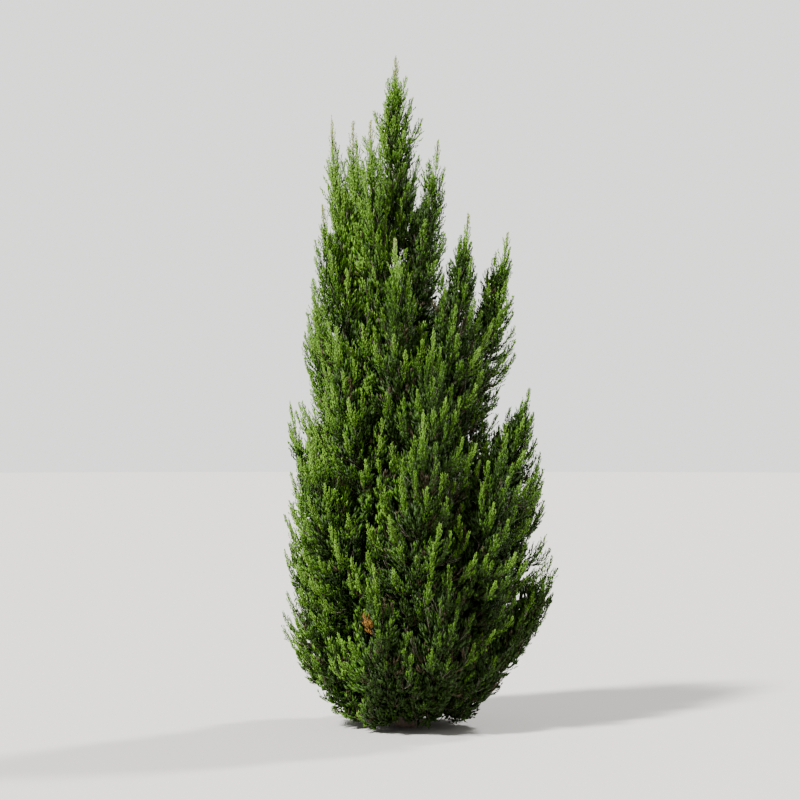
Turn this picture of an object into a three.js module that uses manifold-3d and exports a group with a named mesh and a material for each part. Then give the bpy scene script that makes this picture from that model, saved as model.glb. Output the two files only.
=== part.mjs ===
// A columnar juniper, 3.2 m tall: one trunk, the boughs that climb steeply from it, and the plumes of
// foliage that they carry, in tiers from the skirt at the ground to the leader at the top.
// Lengths are in millimetres and turns in degrees. +Z is up, the origin is the middle of the flat cut under
// the trunk, a turn of 0 points along +X, and a turn of 270 is the front, which faces -Y.
import * as THREE from 'three';
import { mergeVertices } from 'three/addons/utils/BufferGeometryUtils.js';
import Module from 'manifold-3d';

const wasm = await Module();
wasm.setup();

// The whole tree
const TREE_HEIGHT = 3200;
const LEAN = -58;
const TOUCH_GAP = 0.3;
const GROUND_GAP = 12;

// The trunk, which swells into a root flare at the ground
const TRUNK_HEIGHT = 2200;
const TRUNK_BOW = 34;
const TRUNK_FOOT_RADIUS = 47;
const TRUNK_TOP_RADIUS = 8;
const TRUNK_TAPER = 0.85;
const FLARE_RADIUS = 30;
const FLARE_HEIGHT = 70;
const FLARE_RIBS = 5;
const FLARE_RIB_SHARE = 0.3;
const TRUNK_SIDES = 15;
const TRUNK_STEPS = 9;
const TRUNK_STEP_GROWTH = 1.9;

// Boughs, and the stems that carry a plume on from them
const BOUGH_ROOT_RADIUS = 17;
const BOUGH_TIP_RADIUS = 8;
const BOUGH_SIDES = 5;
const BOUGH_STEPS = 3;
const STEM_ROOT_RADIUS = 8;
const STEM_TIP_RADIUS = 2;
const STEM_END = 0.75;

// How wide a plume is along its stem: which share of a half wave it starts at, how low its fullest place
// lies, and how blunt it is
const PLUME_START = 0.07;
const PLUME_FULLEST = 0.62;
const PLUME_BLUNTNESS = 0.8;

// How far the plumes of a tier stray from their even places, in degrees and as shares of reach and height
const TURN_STRAY = [-5, 5];
const REACH_STRAY = [0.96, 1.04];
const TIP_STRAY = [0.95, 1.05];

// Twigs, placed as shares of a plume's stem and of its girth
const TWIG_RADIUS = 4;
const TWIG_PLACES = [0.03, 0.7];
const TWIG_TURN_STRAY = [-12, 12];
const TWIG_RISE = 0.1;
const TWIG_BOW = { rise: 0.04, out: 0.42 };
const TWIG_OUT = 0.6;
const TWIG_TESTS = 2;
const GOLDEN_SHARE = 0.618;

// Sprays. Each is a toothed blade, whose outline is written as shares of its length and of its width.
const SPRAY_WIDTH = 0.3;
const SPRAY_THICKNESS = 0.09;
const SPRAY_MIDDLE = [0.4, 0];
const SPRAY_OUTLINE = [[0, 0], [0.56, 1], [0.6, 0.45], [1, 0], [0.72, -0.4], [0.66, -0.9]];
const SPRAY_OUT = [0.95, 1.15];
const SPRAY_TWIST = 0.5;
const STEEPNESS = 0.5;

// The two sprays of a twig: which share of it they grow from, how far they rise along the stem, and the turn
// that they make away from the twig
const TWIG_SPRAYS = [
  { from: 0.8, rise: [0.18, 0.24], turn: [-12, -12] },
  { from: 0.45, rise: [0.12, 0.18], turn: [45, 65] },
];

// The spray that reaches a plume's tip, and the ring of sprays round it
const TIP_SPRAY = { from: 0.72, widest: 0.88, width: 0.5 };
const TIP_RING = { turns: [40, 160, 280], from: [0.6, 0.66], rise: [0.2, 0.28], out: 0.2 };

// The smaller core that a dense plume has, with every other corner of its skin drawn out and up into a tuft
const CORE_SHARE = 0.7;
const CORE_SIDES = 8;
const CORE_RINGS = 5;
const CORE_LUMPS = [0.92, 1.08];
const CORE_TUFT = { out: 0.24, rise: 0.05 };
const CORE_ENDS = [0.03, 0.88];
const CORE_START_ON_TRUNK = 0.2;
const MARCH_STEP = 5;

// How plumes keep to their own space: a point belongs to the plume whose girth it is the smallest share of
const SHARE_SOFTNESS = 30;
const SHARE_MARGIN = 0.1;
const LIMB_MARGIN = 7;
const STEM_SAMPLES = 14;
const LIMB_SAMPLES = 8;

// The tiers from the ground up. foot is where a bough leaves the trunk, and stagger how much feet differ.
// swing and climb shape a bough's curve as shares of its reach and rise, split is the share of it where the
// bough ends and its plume begins, and fan is how far round the plume its twigs are spread.
const TIERS = [
  { name: 'skirt', count: 7, turn: -10, foot: 44, stagger: 12, reach: 610, tip: 850, girth: 250,
    twigs: 6, fan: 250, split: 0.24, swing: [0.34, 0.76], climb: [0.02, 0.25] },
  { name: 'lower', count: 7, turn: 15, foot: 230, stagger: 60, reach: 575, tip: 1370, girth: 255,
    twigs: 6, fan: 250, split: 0.26, swing: [0.48, 0.84], climb: [0.2, 0.46] },
  { name: 'middle', count: 6, turn: -15, foot: 560, stagger: 90, reach: 475, tip: 1880, girth: 225,
    twigs: 6, fan: 260, split: 0.28, swing: [0.46, 0.88], climb: [0.22, 0.5] },
  { name: 'upper', count: 6, turn: -40, foot: 1000, stagger: 110, reach: 380, tip: 2360, girth: 175,
    twigs: 5, fan: 280, split: 0.28, swing: [0.44, 0.9], climb: [0.22, 0.52] },
  { name: 'top', count: 5, turn: 50, foot: 1560, stagger: 130, reach: 200, tip: 2740, girth: 105,
    twigs: 5, fan: 330, split: 0, swing: [0.5, 1], climb: [0.2, 0.52] },
];

// Plumes that stand out on the crown's outline or close a gap in it, with what sets them apart
const SPIRES = {
  skirt_1: { turn: -12, reach: 700, tip: 837 },
  skirt_5: { turn: 197, reach: 590, tip: 1010 },
  skirt_6: { turn: 255 },
  skirt_7: { turn: 288 },
  lower_1: { turn: 14, reach: 664, tip: 1317 },
  lower_4: { turn: 171, reach: 580, tip: 1572, girth: 185 },
  lower_6: { turn: 277, reach: 570, tip: 1519 },
  middle_1: { turn: -13, reach: 588, tip: 1620 },
  middle_4: { turn: 168, reach: 472, tip: 2170 },
  upper_1: { turn: -41, reach: 372, tip: 2437 },
  upper_2: { turn: 17, reach: 508, tip: 2385 },
  upper_5: { turn: 201, reach: 432, tip: 2486 },
  top_2: { turn: 140, reach: 345, tip: 2942, girth: 80 },
  top_3: { turn: 185, reach: 362, tip: 2933, girth: 80 },
  top_4: { turn: 228, reach: 259, tip: 2885, girth: 120 },
  top_5: { turn: 322, reach: 184, tip: 2798, girth: 135 },
};
const LEADER = { girth: 145, twigs: 5, fan: 360 };
const FRONT = 270;

const bark = new THREE.MeshStandardMaterial({ color: 0x6d5645, roughness: 0.95, metalness: 0 });
const foliage = new THREE.MeshStandardMaterial({ color: 0x43761f, roughness: 0.8, metalness: 0 });
bark.name = 'bark';
foliage.name = 'foliage';

// A stream of numbers from 0 to 1 that is the same for the same seed.
function seededNumbers(seed) {
  let state = (Math.imul(seed, 2654435761) + 12345) >>> 0;
  return () => {
    state = (Math.imul(state, 1664525) + 1013904223) >>> 0;
    return state / 4294967296;
  };
}

// A number in a range, drawn from a stream.
function strayIn([low, high], random) {
  return THREE.MathUtils.lerp(low, high, random());
}

function directionOf(turn) {
  const angle = THREE.MathUtils.degToRad(turn);
  return new THREE.Vector3(Math.cos(angle), Math.sin(angle), 0);
}

// A point on a curve with the directions along it, outwards from the trunk and sideways.
function frameAt(curve, place, outwards) {
  const along = curve.getTangent(place);
  const out = outwards.clone().addScaledVector(along, -outwards.dot(along)).normalize();
  return { at: curve.getPoint(place), along, out, side: new THREE.Vector3().crossVectors(out, along) };
}

// The point at that distance from a frame's own, turned round its curve.
function besideFrame(frame, turn, distance) {
  const round = directionOf(turn);
  return frame.at.clone()
    .addScaledVector(frame.out, round.x * distance)
    .addScaledVector(frame.side, round.y * distance);
}

// A geometry with only its positions, and each shared vertex stored once.
function positionsOnly(geometry) {
  geometry.deleteAttribute('normal');
  geometry.deleteAttribute('uv');
  return mergeVertices(geometry);
}

// Moves each vertex of a geometry to where the function puts it.
function reshape(geometry, moved) {
  const shaped = positionsOnly(geometry);
  const positions = shaped.getAttribute('position');
  const vertex = new THREE.Vector3();
  for (let i = 0; i < positions.count; i++) {
    vertex.fromBufferAttribute(positions, i);
    positions.setXYZ(i, ...moved(vertex).toArray());
  }
  return shaped;
}

function solidFrom(geometry) {
  return new wasm.Manifold(new wasm.Mesh({
    numProp: 3,
    vertProperties: new Float32Array(geometry.getAttribute('position').array),
    triVerts: new Uint32Array(geometry.index.array),
  }));
}

function geometryFrom(solid) {
  const mesh = solid.getMesh();
  const geometry = new THREE.BufferGeometry();
  geometry.setAttribute('position', new THREE.BufferAttribute(mesh.vertProperties, mesh.numProp));
  geometry.setIndex(new THREE.BufferAttribute(mesh.triVerts, 1));
  geometry.computeVertexNormals();
  return geometry;
}

// The largest body of a solid, with any loose scrap dropped and any sealed hollow filled.
function largestBody(solid) {
  return solid.decompose().reduce((best, body) => (body.volume() > best.volume() ? body : best));
}

// A straight cylinder bent along a stretch of a curve, with a radius for each share of that stretch.
function limbSolid({ curve, from, to, outwards, sides, steps, radiusAt, pointed = false }) {
  return solidFrom(reshape(new THREE.CylinderGeometry(pointed ? 0 : 1, 1, 1, sides, steps), (vertex) => {
    const share = vertex.y + 0.5;
    const turn = THREE.MathUtils.radToDeg(Math.atan2(vertex.z, vertex.x));
    const frame = frameAt(curve, from + (to - from) * share, outwards);
    return besideFrame(frame, turn, Math.hypot(vertex.x, vertex.z) * radiusAt(share));
  }));
}

// The trunk's line bows a little to the right and then leans to the left, and climbs evenly.
const trunkLine = new THREE.QuadraticBezierCurve3(
  new THREE.Vector3(0, 0, 0),
  new THREE.Vector3(TRUNK_BOW, TRUNK_BOW / 2, TRUNK_HEIGHT / 2),
  new THREE.Vector3(LEAN, 0, TRUNK_HEIGHT),
);

// The trunk's radius at a share of its height. The root flare adds most at the ground, and more on its ribs.
function trunkRadius(share, turn = 0) {
  const wave = Math.cos(THREE.MathUtils.degToRad(turn * FLARE_RIBS));
  const flare = FLARE_RADIUS * THREE.MathUtils.lerp(1, wave, FLARE_RIB_SHARE);
  const taper = THREE.MathUtils.lerp(TRUNK_FOOT_RADIUS, TRUNK_TOP_RADIUS, share ** TRUNK_TAPER);
  return taper + flare * Math.exp(-share * TRUNK_HEIGHT / FLARE_HEIGHT);
}

// The trunk, in level rings that stand closer at its foot. Extra radius gives the space that is kept for it.
function trunkSolid(extra) {
  return solidFrom(reshape(new THREE.CylinderGeometry(1, 1, 1, TRUNK_SIDES, TRUNK_STEPS), (vertex) => {
    const share = (vertex.y + 0.5) ** TRUNK_STEP_GROWTH;
    const turn = THREE.MathUtils.radToDeg(Math.atan2(vertex.x, vertex.z));
    const radius = Math.hypot(vertex.x, vertex.z) * (trunkRadius(share, turn) + extra);
    return trunkLine.getPoint(share).addScaledVector(directionOf(turn), radius);
  }));
}

// How wide a plume is along its stem, as a share of its girth: full low down and pointed at its tip.
function plumeProfile(along) {
  const wave = THREE.MathUtils.lerp(PLUME_START, 1, along) ** PLUME_FULLEST;
  return Math.max(0, Math.sin(Math.PI * wave)) ** PLUME_BLUNTNESS;
}

// Everything that shapes one plume: the line from the trunk's middle to its tip, and where its stem begins.
function plumeOf(tier, number, index) {
  const random = seededNumbers(index + 1);
  const name = tier.name + '_' + number;
  const even = {
    turn: tier.turn + (number - 1) * 360 / tier.count + strayIn(TURN_STRAY, random),
    reach: tier.reach * strayIn(REACH_STRAY, random),
    tip: tier.tip * strayIn(TIP_STRAY, random),
  };
  const plume = { ...tier, ...even, ...SPIRES[name], name, index };
  const foot = tier.foot + tier.stagger * (number % 3);
  const root = trunkLine.getPoint(foot / TRUNK_HEIGHT);
  const outwards = directionOf(plume.turn);
  const bends = [0, 1].map((bend) => root.clone()
    .addScaledVector(outwards, plume.reach * tier.swing[bend])
    .setZ(THREE.MathUtils.lerp(foot, plume.tip, tier.climb[bend])));
  const end = outwards.clone().multiplyScalar(plume.reach).setZ(plume.tip);
  const line = new THREE.CubicBezierCurve3(root, ...bends, end);
  const onBough = tier.split > 0;
  const coreStart = onBough ? CORE_ENDS[0] : CORE_START_ON_TRUNK;
  return { ...plume, line, outwards, onBough, coreStart };
}

// The leader grows straight on from the trunk's tip to the top of the tree.
function leaderPlume(index) {
  const start = new THREE.Vector3(LEAN, 0, TRUNK_HEIGHT + TOUCH_GAP);
  const top = new THREE.Vector3(LEAN, 0, TREE_HEIGHT);
  const bends = [1 / 3, 2 / 3].map((share) => start.clone().lerp(top, share));
  const line = new THREE.CubicBezierCurve3(start, ...bends, top);
  return {
    ...LEADER, name: 'leader', index, line, outwards: directionOf(FRONT), split: 0, onBough: false,
    coreStart: CORE_ENDS[0],
  };
}

function allPlumes() {
  const plumes = [];
  for (const tier of TIERS) {
    for (let number = 1; number <= tier.count; number++) plumes.push(plumeOf(tier, number, plumes.length));
  }
  plumes.push(leaderPlume(plumes.length));
  for (const plume of plumes) {
    plume.stem = Array.from({ length: STEM_SAMPLES + 1 }, (_, i) => stemFrame(plume, i / STEM_SAMPLES).at);
  }
  return plumes;
}

// The frame at a share of a plume's stem, from its bough's tip at 0 to the plume's tip at 1.
function stemFrame(plume, along) {
  return frameAt(plume.line, plume.split + (1 - plume.split) * along, plume.outwards);
}

function girthAt(plume, along) {
  return plume.girth * plumeProfile(along);
}

// The nearest place on a chain of points: its distance, and its share of the chain.
function nearestOn(chain, point) {
  let best = { distance: Infinity, along: 0 };
  const stretch = new THREE.Line3();
  const nearest = new THREE.Vector3();
  for (let i = 0; i + 1 < chain.length; i++) {
    stretch.set(chain[i], chain[i + 1]);
    const share = stretch.closestPointToPointParameter(point, true);
    const distance = stretch.at(share, nearest).distanceTo(point);
    if (distance < best.distance) best = { distance, along: (i + share) / (chain.length - 1) };
  }
  return best;
}

// How far out in a plume a point lies, as a share of the plume's girth there.
function shareOf(plume, point) {
  const { distance, along } = nearestOn(plume.stem, point);
  return distance / (girthAt(plume, along) + SHARE_SOFTNESS);
}

// Whether a point is in the space of a plume: nearer to it than to any other, above the ground, and clear of
// the trunk and of every bough.
function inSpace(plume, point) {
  if (point.z < GROUND_GAP) return false;
  if (limbs.some((limb) => limbReaches(limb, point))) return false;
  const own = shareOf(plume, point);
  return plumes.every((other) => other === plume || shareOf(other, point) > own + SHARE_MARGIN);
}

function limbReaches(limb, point) {
  const { distance, along } = nearestOn(limb.chain, point);
  return distance < limb.radiusAt(along) + LIMB_MARGIN;
}

const boughRadius = (share) => THREE.MathUtils.lerp(BOUGH_ROOT_RADIUS, BOUGH_TIP_RADIUS, share);
const stemRadius = (share) => THREE.MathUtils.lerp(STEM_ROOT_RADIUS, STEM_TIP_RADIUS, share);

// The trunk and the boughs as chains of points, for telling how far off them a point lies.
function allLimbs() {
  const samples = Array.from({ length: LIMB_SAMPLES + 1 }, (_, i) => i / LIMB_SAMPLES);
  const chainOf = (curve, to) => samples.map((share) => curve.getPoint(to * share));
  const trunk = { chain: chainOf(trunkLine, 1), radiusAt: (share) => trunkRadius(share) };
  const boughs = plumes
    .filter((plume) => plume.onBough)
    .map((plume) => ({ chain: chainOf(plume.line, plume.split), radiusAt: boughRadius }));
  return [trunk, ...boughs];
}

// A bough runs from the trunk's skin to a flat end, where its plume's stem begins.
function boughSolid(plume) {
  return limbSolid({
    curve: plume.line,
    from: 0,
    to: plume.split,
    outwards: plume.outwards,
    sides: BOUGH_SIDES,
    steps: BOUGH_STEPS,
    radiusAt: boughRadius,
  }).subtract(trunkSpace);
}

// The stem goes on from the bough's flat end, a touching gap clear of it.
function stemSolid(plume) {
  const gap = plume.onBough ? TOUCH_GAP / plume.line.getLength() : 0;
  return limbSolid({
    curve: plume.line,
    from: plume.split + gap,
    to: plume.split + (1 - plume.split) * STEM_END,
    outwards: plume.outwards,
    sides: BOUGH_SIDES,
    steps: BOUGH_STEPS,
    radiusAt: stemRadius,
  });
}

// How far a core may reach from the stem that way before it would leave the plume's space.
function coreReach(plume, along, turn, wanted) {
  const frame = stemFrame(plume, along);
  let reach = stemRadius(along) / 2;
  while (reach + MARCH_STEP <= wanted && inSpace(plume, besideFrame(frame, turn, reach + MARCH_STEP))) {
    reach += MARCH_STEP;
  }
  return reach;
}

// The core is a ball drawn out along the stem, tufted, and pulled in where a neighbour or a limb is near.
function coreSolid(plume, random) {
  return solidFrom(reshape(new THREE.SphereGeometry(1, CORE_SIDES, CORE_RINGS), (vertex) => {
    const round = Math.hypot(vertex.x, vertex.z);
    const along = THREE.MathUtils.lerp(plume.coreStart, CORE_ENDS[1], (1 + vertex.y) / 2);
    const isPole = Math.abs(vertex.y) === 1;
    if (isPole) return stemFrame(plume, along).at;
    const turn = THREE.MathUtils.radToDeg(Math.atan2(vertex.z, vertex.x));
    const ring = Math.round(Math.acos(vertex.y) / Math.PI * CORE_RINGS);
    const isTuft = (ring + Math.round(turn / 360 * CORE_SIDES)) % 2 === 0;
    const place = along + (isTuft ? CORE_TUFT.rise : 0);
    const lump = strayIn(CORE_LUMPS, random) + (isTuft ? CORE_TUFT.out : 0);
    const wanted = girthAt(plume, place) * CORE_SHARE * Math.sqrt(round) * lump;
    return besideFrame(stemFrame(plume, place), turn, coreReach(plume, place, turn, wanted));
  }));
}

// A point of a plume, by its share of the stem, its turn round it and its share of the girth there.
function plumePoint(plume, along, turn, out) {
  return besideFrame(stemFrame(plume, along), turn, girthAt(plume, along) * out);
}

// A twig leaves the stem, bows outwards and climbs to the edge of the core.
function twigOf(plume, order, random) {
  const along = THREE.MathUtils.lerp(...TWIG_PLACES, (order + random()) / plume.twigs);
  const share = (order + 1) * GOLDEN_SHARE % 1;
  const turn = (share - 0.5) * plume.fan + strayIn(TWIG_TURN_STRAY, random);
  const line = new THREE.QuadraticBezierCurve3(
    plumePoint(plume, along, turn, 0),
    plumePoint(plume, along + TWIG_BOW.rise, turn, TWIG_BOW.out),
    plumePoint(plume, along + TWIG_RISE, turn, TWIG_OUT),
  );
  return { along, turn, line, side: order % 2 ? 1 : -1 };
}

function twigSolid(plume, twig) {
  return limbSolid({
    curve: twig.line,
    from: 0,
    to: 1,
    outwards: plume.outwards,
    sides: 3,
    steps: 1,
    radiusAt: () => TWIG_RADIUS,
    pointed: true,
  });
}

// A toothed blade from its root to its tip, with its face turned as nearly to facing as it can be.
function sprayShape(root, tip, facing, width) {
  const heading = tip.clone().sub(root);
  const length = heading.length();
  heading.normalize();
  const across = new THREE.Vector3().crossVectors(heading, facing).normalize();
  const through = new THREE.Vector3().crossVectors(across, heading);
  const placed = ([along, aside], thick) => root.clone()
    .addScaledVector(heading, along * length)
    .addScaledVector(across, aside * width)
    .addScaledVector(through, thick * length * SPRAY_THICKNESS);
  const corners = SPRAY_OUTLINE.map((corner) => placed(corner, 0));
  const geometry = reshape(new THREE.SphereGeometry(1, corners.length, 2), (vertex) => {
    if (Math.abs(vertex.y) === 1) return placed(SPRAY_MIDDLE, vertex.y);
    const place = Math.atan2(vertex.z, -vertex.x) / (2 * Math.PI) * corners.length;
    return corners[(Math.round(place) + corners.length) % corners.length];
  });
  return { corners, heading, geometry };
}

// The sprays of one twig, which end on the plume's edge: one carries the twig on, and one leans to a side.
function twigSprays(plume, twig, random) {
  return TWIG_SPRAYS.map(({ from, rise, turn }) => {
    const along = twig.along + TWIG_RISE * from + strayIn(rise, random);
    const round = twig.turn + twig.side * strayIn(turn, random);
    const root = twig.line.getPoint(from);
    const tip = plumePoint(plume, along, round, strayIn(SPRAY_OUT, random));
    const twist = directionOf(360 * random()).multiplyScalar(SPRAY_TWIST);
    return sprayShape(root, tip, stemOutwards(plume, tip).add(twist), root.distanceTo(tip) * SPRAY_WIDTH);
  });
}

// The direction from a plume's stem out to a point.
function stemOutwards(plume, point) {
  return point.clone().sub(stemFrame(plume, nearestOn(plume.stem, point).along).at).normalize();
}

// The sprays that end the plume: one reaches its tip, and others stand round it a little lower.
function tipSprays(plume, random) {
  const highest = sprayShape(
    stemFrame(plume, TIP_SPRAY.from).at,
    plume.line.getPoint(1),
    stemFrame(plume, TIP_SPRAY.widest).side,
    girthAt(plume, TIP_SPRAY.widest) * TIP_SPRAY.width,
  );
  const ring = TIP_RING.turns.map((turn) => {
    const along = strayIn(TIP_RING.from, random);
    const root = plumePoint(plume, along, turn, TIP_RING.out);
    const tip = plumePoint(plume, along + strayIn(TIP_RING.rise, random), turn, 1);
    return sprayShape(root, tip, stemOutwards(plume, tip), root.distanceTo(tip) * SPRAY_WIDTH);
  });
  return [highest, ...ring];
}

// One plume of foliage: its stem, its core, and every twig and spray that stays in its space, fused.
function plumeSolid(plume) {
  const random = seededNumbers(1000 + plume.index);
  const fits = (points) => points.every((point) => inSpace(plume, point));
  const pieces = [stemSolid(plume), coreSolid(plume, random)];
  const sprays = tipSprays(plume, random);
  for (let order = 0; order < plume.twigs; order++) {
    const twig = twigOf(plume, order, random);
    const grown = twigSprays(plume, twig, random);
    if (!fits(twig.line.getPoints(TWIG_TESTS).slice(1))) continue;
    pieces.push(twigSolid(plume, twig));
    sprays.push(...grown);
  }
  for (const { corners, heading, geometry } of sprays) {
    if (heading.z > STEEPNESS && fits(corners.slice(1))) pieces.push(solidFrom(geometry));
  }
  const fused = wasm.Manifold.union(pieces);
  return largestBody(plume.onBough ? fused : fused.subtract(trunkSpace));
}

function namedMesh(name, solid, material) {
  const mesh = new THREE.Mesh(geometryFrom(solid), material);
  mesh.name = name;
  return mesh;
}

const plumes = allPlumes();
const limbs = allLimbs();
const trunkSpace = trunkSolid(TOUCH_GAP);

const tree = new THREE.Group();
tree.name = 'columnar_juniper';
tree.add(namedMesh('trunk', trunkSolid(0), bark));
for (const plume of plumes) {
  if (plume.onBough) tree.add(namedMesh('bough_' + plume.name, largestBody(boughSolid(plume)), bark));
  tree.add(namedMesh('plume_' + plume.name, plumeSolid(plume), foliage));
}

export default tree;
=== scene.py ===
"""A columnar juniper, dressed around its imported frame: a trunk and boughs with stringy bark, twigs, and
scale-leaf foliage grown by the rule that shapes the frame's masses, carried on to finer shoots.

Lengths are in metres and turns in degrees. +Z is up, the origin is in the middle of the flat cut under the
trunk, a turn of 0 points along +X, and a turn of 270 is the front, which faces -Y.
"""
import math
from functools import cache
from types import SimpleNamespace

import bmesh
import bpy
import numpy as np
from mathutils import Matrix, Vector, noise


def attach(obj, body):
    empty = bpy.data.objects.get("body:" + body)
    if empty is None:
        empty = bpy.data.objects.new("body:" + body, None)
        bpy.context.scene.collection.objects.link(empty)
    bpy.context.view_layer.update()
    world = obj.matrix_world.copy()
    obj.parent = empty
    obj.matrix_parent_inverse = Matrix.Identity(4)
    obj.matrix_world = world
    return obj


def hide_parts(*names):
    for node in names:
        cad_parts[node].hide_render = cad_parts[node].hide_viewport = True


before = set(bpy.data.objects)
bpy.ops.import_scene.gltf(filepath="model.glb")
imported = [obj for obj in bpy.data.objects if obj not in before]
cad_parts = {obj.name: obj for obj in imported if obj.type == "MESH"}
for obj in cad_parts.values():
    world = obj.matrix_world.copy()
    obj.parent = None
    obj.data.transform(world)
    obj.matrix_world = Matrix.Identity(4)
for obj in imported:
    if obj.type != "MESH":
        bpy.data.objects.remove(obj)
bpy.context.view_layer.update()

bl_info = {
    "name": "Columnar Juniper",
    "version": (1, 0, 0),
    "blender": (4, 5, 0),
    "location": "3D View > Sidebar > Juniper",
    "description": "Grows a columnar juniper's bark, twigs and foliage on its trunk and boughs",
    "category": "Object",
}

# The whole tree. Foliage keeps a gap to the ground, LEVEL takes the height out of a vector, and one that is
# shorter than the shortest has no direction.
TREE_HEIGHT = 3.2
LEAN = -0.058
GROUND_GAP = 0.012
LEVEL = np.array([1, 1, 0])
SHORTEST = 1e-9

# The trunk, which swells into a ribbed root flare at the ground. The steps of its mesh grow with height.
TRUNK_HEIGHT = 2.2
TRUNK_BOW = 0.034
TRUNK_FOOT_RADIUS = 0.047
TRUNK_TOP_RADIUS = 0.008
TRUNK_TAPER = 0.85
FLARE_RADIUS = 0.03
FLARE_HEIGHT = 0.07
FLARE_RIBS = 5
FLARE_RIB_SHARE = 0.3
TRUNK_STEP_GROWTH = 1.5

# Boughs, and the stems that carry a plume on from them
BOUGH_ROOT_RADIUS = 0.017
BOUGH_TIP_RADIUS = 0.008
STEM_ROOT_RADIUS = 0.008
STEM_TIP_RADIUS = 0.0015
STEM_END = 0.96

# How wide a plume is along its stem: which share of a half wave it starts at, how low its fullest place
# lies, and how blunt it is
PLUME_START = 0.07
PLUME_FULLEST = 0.62
PLUME_BLUNTNESS = 0.8

# How far the plumes of a tier stray from their even places, in degrees and as shares of reach and height
TURN_STRAY = (-5, 5)
REACH_STRAY = (0.96, 1.04)
TIP_STRAY = (0.95, 1.05)

# How plumes keep to their own space: a point belongs to the plume whose girth it is the smallest share of,
# and keeps a margin to every limb. Distances are measured from stems and limbs as chains of straight pieces.
SHARE_SOFTNESS = 0.03
LIMB_MARGIN = 0.004
STEM_SAMPLES = 14
LIMB_SAMPLES = 8

# How far each shoot is spiralled on from the last, as a share of the fan, and each branchlet and leaf, in
# degrees
GOLDEN_SHARE = 0.618
GOLDEN_TURN = 137.5

# Random numbers, which are the same for the same seed
SEED_FACTOR = 2654435761
SEED_STEP = 12345
NUMBER_FACTOR = 1664525
NUMBER_STEP = 1013904223
NUMBER_RANGE = 2 ** 32
SHOOT_SEED = 1000
CROWN_SEED = 5000

# The tiers from the ground up. turn is where the first plume stands, and reach and tip are how far out and
# how high the plumes end. foot is how high a bough leaves the trunk, and stagger how much feet differ. girth
# is how far a plume spreads from its stem. swing and climb shape a bough's curve as shares of its reach and
# rise, split is the share of it where the bough ends and its plume begins, and fan is how far round the plume
# its twigs are spread. slender is how much a plume's shoots keep to its stem towards the tip, and fullness is
# how many times the usual number of shoots it has. Both are 1 where they aren't given.
TIERS = (
    dict(tier="skirt", count=7, turn=-10, foot=0.044, stagger=0.012, reach=0.61, tip=0.85, girth=0.25,
         fan=250, split=0.24, swing=(0.34, 0.76), climb=(0.02, 0.25)),
    dict(tier="lower", count=7, turn=15, foot=0.23, stagger=0.06, reach=0.575, tip=1.37, girth=0.255,
         fan=250, split=0.26, swing=(0.48, 0.84), climb=(0.2, 0.46)),
    dict(tier="middle", count=6, turn=-15, foot=0.56, stagger=0.09, reach=0.475, tip=1.88, girth=0.225,
         fan=260, split=0.28, swing=(0.46, 0.88), climb=(0.22, 0.5)),
    dict(tier="upper", count=6, turn=-40, foot=1.0, stagger=0.11, reach=0.38, tip=2.36, girth=0.175,
         fan=280, split=0.28, swing=(0.44, 0.9), climb=(0.22, 0.52)),
    dict(tier="top", count=5, turn=50, foot=1.56, stagger=0.13, reach=0.2, tip=2.74, girth=0.105,
         fan=330, split=0.0, swing=(0.5, 1), climb=(0.2, 0.52), slender=0.4),
)

# Plumes that stand out on the crown's outline or close a gap in it, with what sets them apart
SPIRES = {
    "skirt_1": dict(turn=-12, reach=0.7, tip=0.837, fullness=1.4),
    "skirt_5": dict(turn=197, reach=0.59, tip=1.01),
    "skirt_6": dict(turn=255),
    "skirt_7": dict(turn=288),
    "lower_1": dict(turn=14, reach=0.664, tip=1.317),
    "lower_4": dict(turn=171, reach=0.58, tip=1.572, girth=0.185),
    "lower_6": dict(turn=277, reach=0.57, tip=1.519),
    "middle_1": dict(turn=-13, reach=0.588, tip=1.62, fullness=1.4),
    "middle_4": dict(turn=168, reach=0.472, tip=2.17),
    "upper_1": dict(turn=-41, reach=0.372, tip=2.437, fullness=1.3),
    "upper_2": dict(turn=17, reach=0.508, tip=2.385, fullness=1.3),
    "upper_5": dict(turn=201, reach=0.432, tip=2.486),
    "top_2": dict(turn=140, reach=0.345, tip=2.942, girth=0.08, slender=0, fullness=2.2),
    "top_3": dict(turn=185, reach=0.362, tip=2.933, girth=0.08, slender=0, fullness=2.2),
    "top_4": dict(turn=228, reach=0.259, tip=2.885, girth=0.12),
    "top_5": dict(turn=322, reach=0.184, tip=2.798, girth=0.135),
}
LEADER = dict(tier="top", girth=0.145, fan=360, slender=0.4, fullness=1.2)
FRONT = 270

# Shoots, the small pointed plumes that a mass is made of. They end at these shares of a plume's stem, more
# of them where it is wide, and start a rise lower. Outer and inner are shares of its girth, and grow round
# its sides to meet the next plume. A shoot leans outwards and then turns upright, and one that would leave
# the plume's space is pulled in until it fits, or else left out.
SHOOT_ENDS = (0.1, 0.92)
SHOOT_END_EXTRA = 0.2
SHOOT_TURN_STRAY = (-16, 16)
SHOOT_VEER = (-12, 12)
SHOOT_RISE = (0.16, 0.26)
SHOOT_OUTER = (0.8, 1.16)
SHOOT_INNER = (0.2, 0.7)
SHOOT_SIDE_REACH = 0.46
SHOOT_UPRIGHT = 2.3
SHOOT_FLARE = 0.7
SHOOT_TURNING = 0.42
SHOOT_SWING = 0.36
SHOOT_LOWEST = 0.02
SHOOT_PULLS = (1.0, 0.82, 0.66, 0.5, 0.36, 0.22)
SHOOT_LEAFY = 0.12
SHOOT_SIZES = (0.75, 1.25)
SHOOT_SAMPLES = 60

# Shoots are spread this much further round a plume than its twigs, in degrees
FAN_SPREAD = 110

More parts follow.
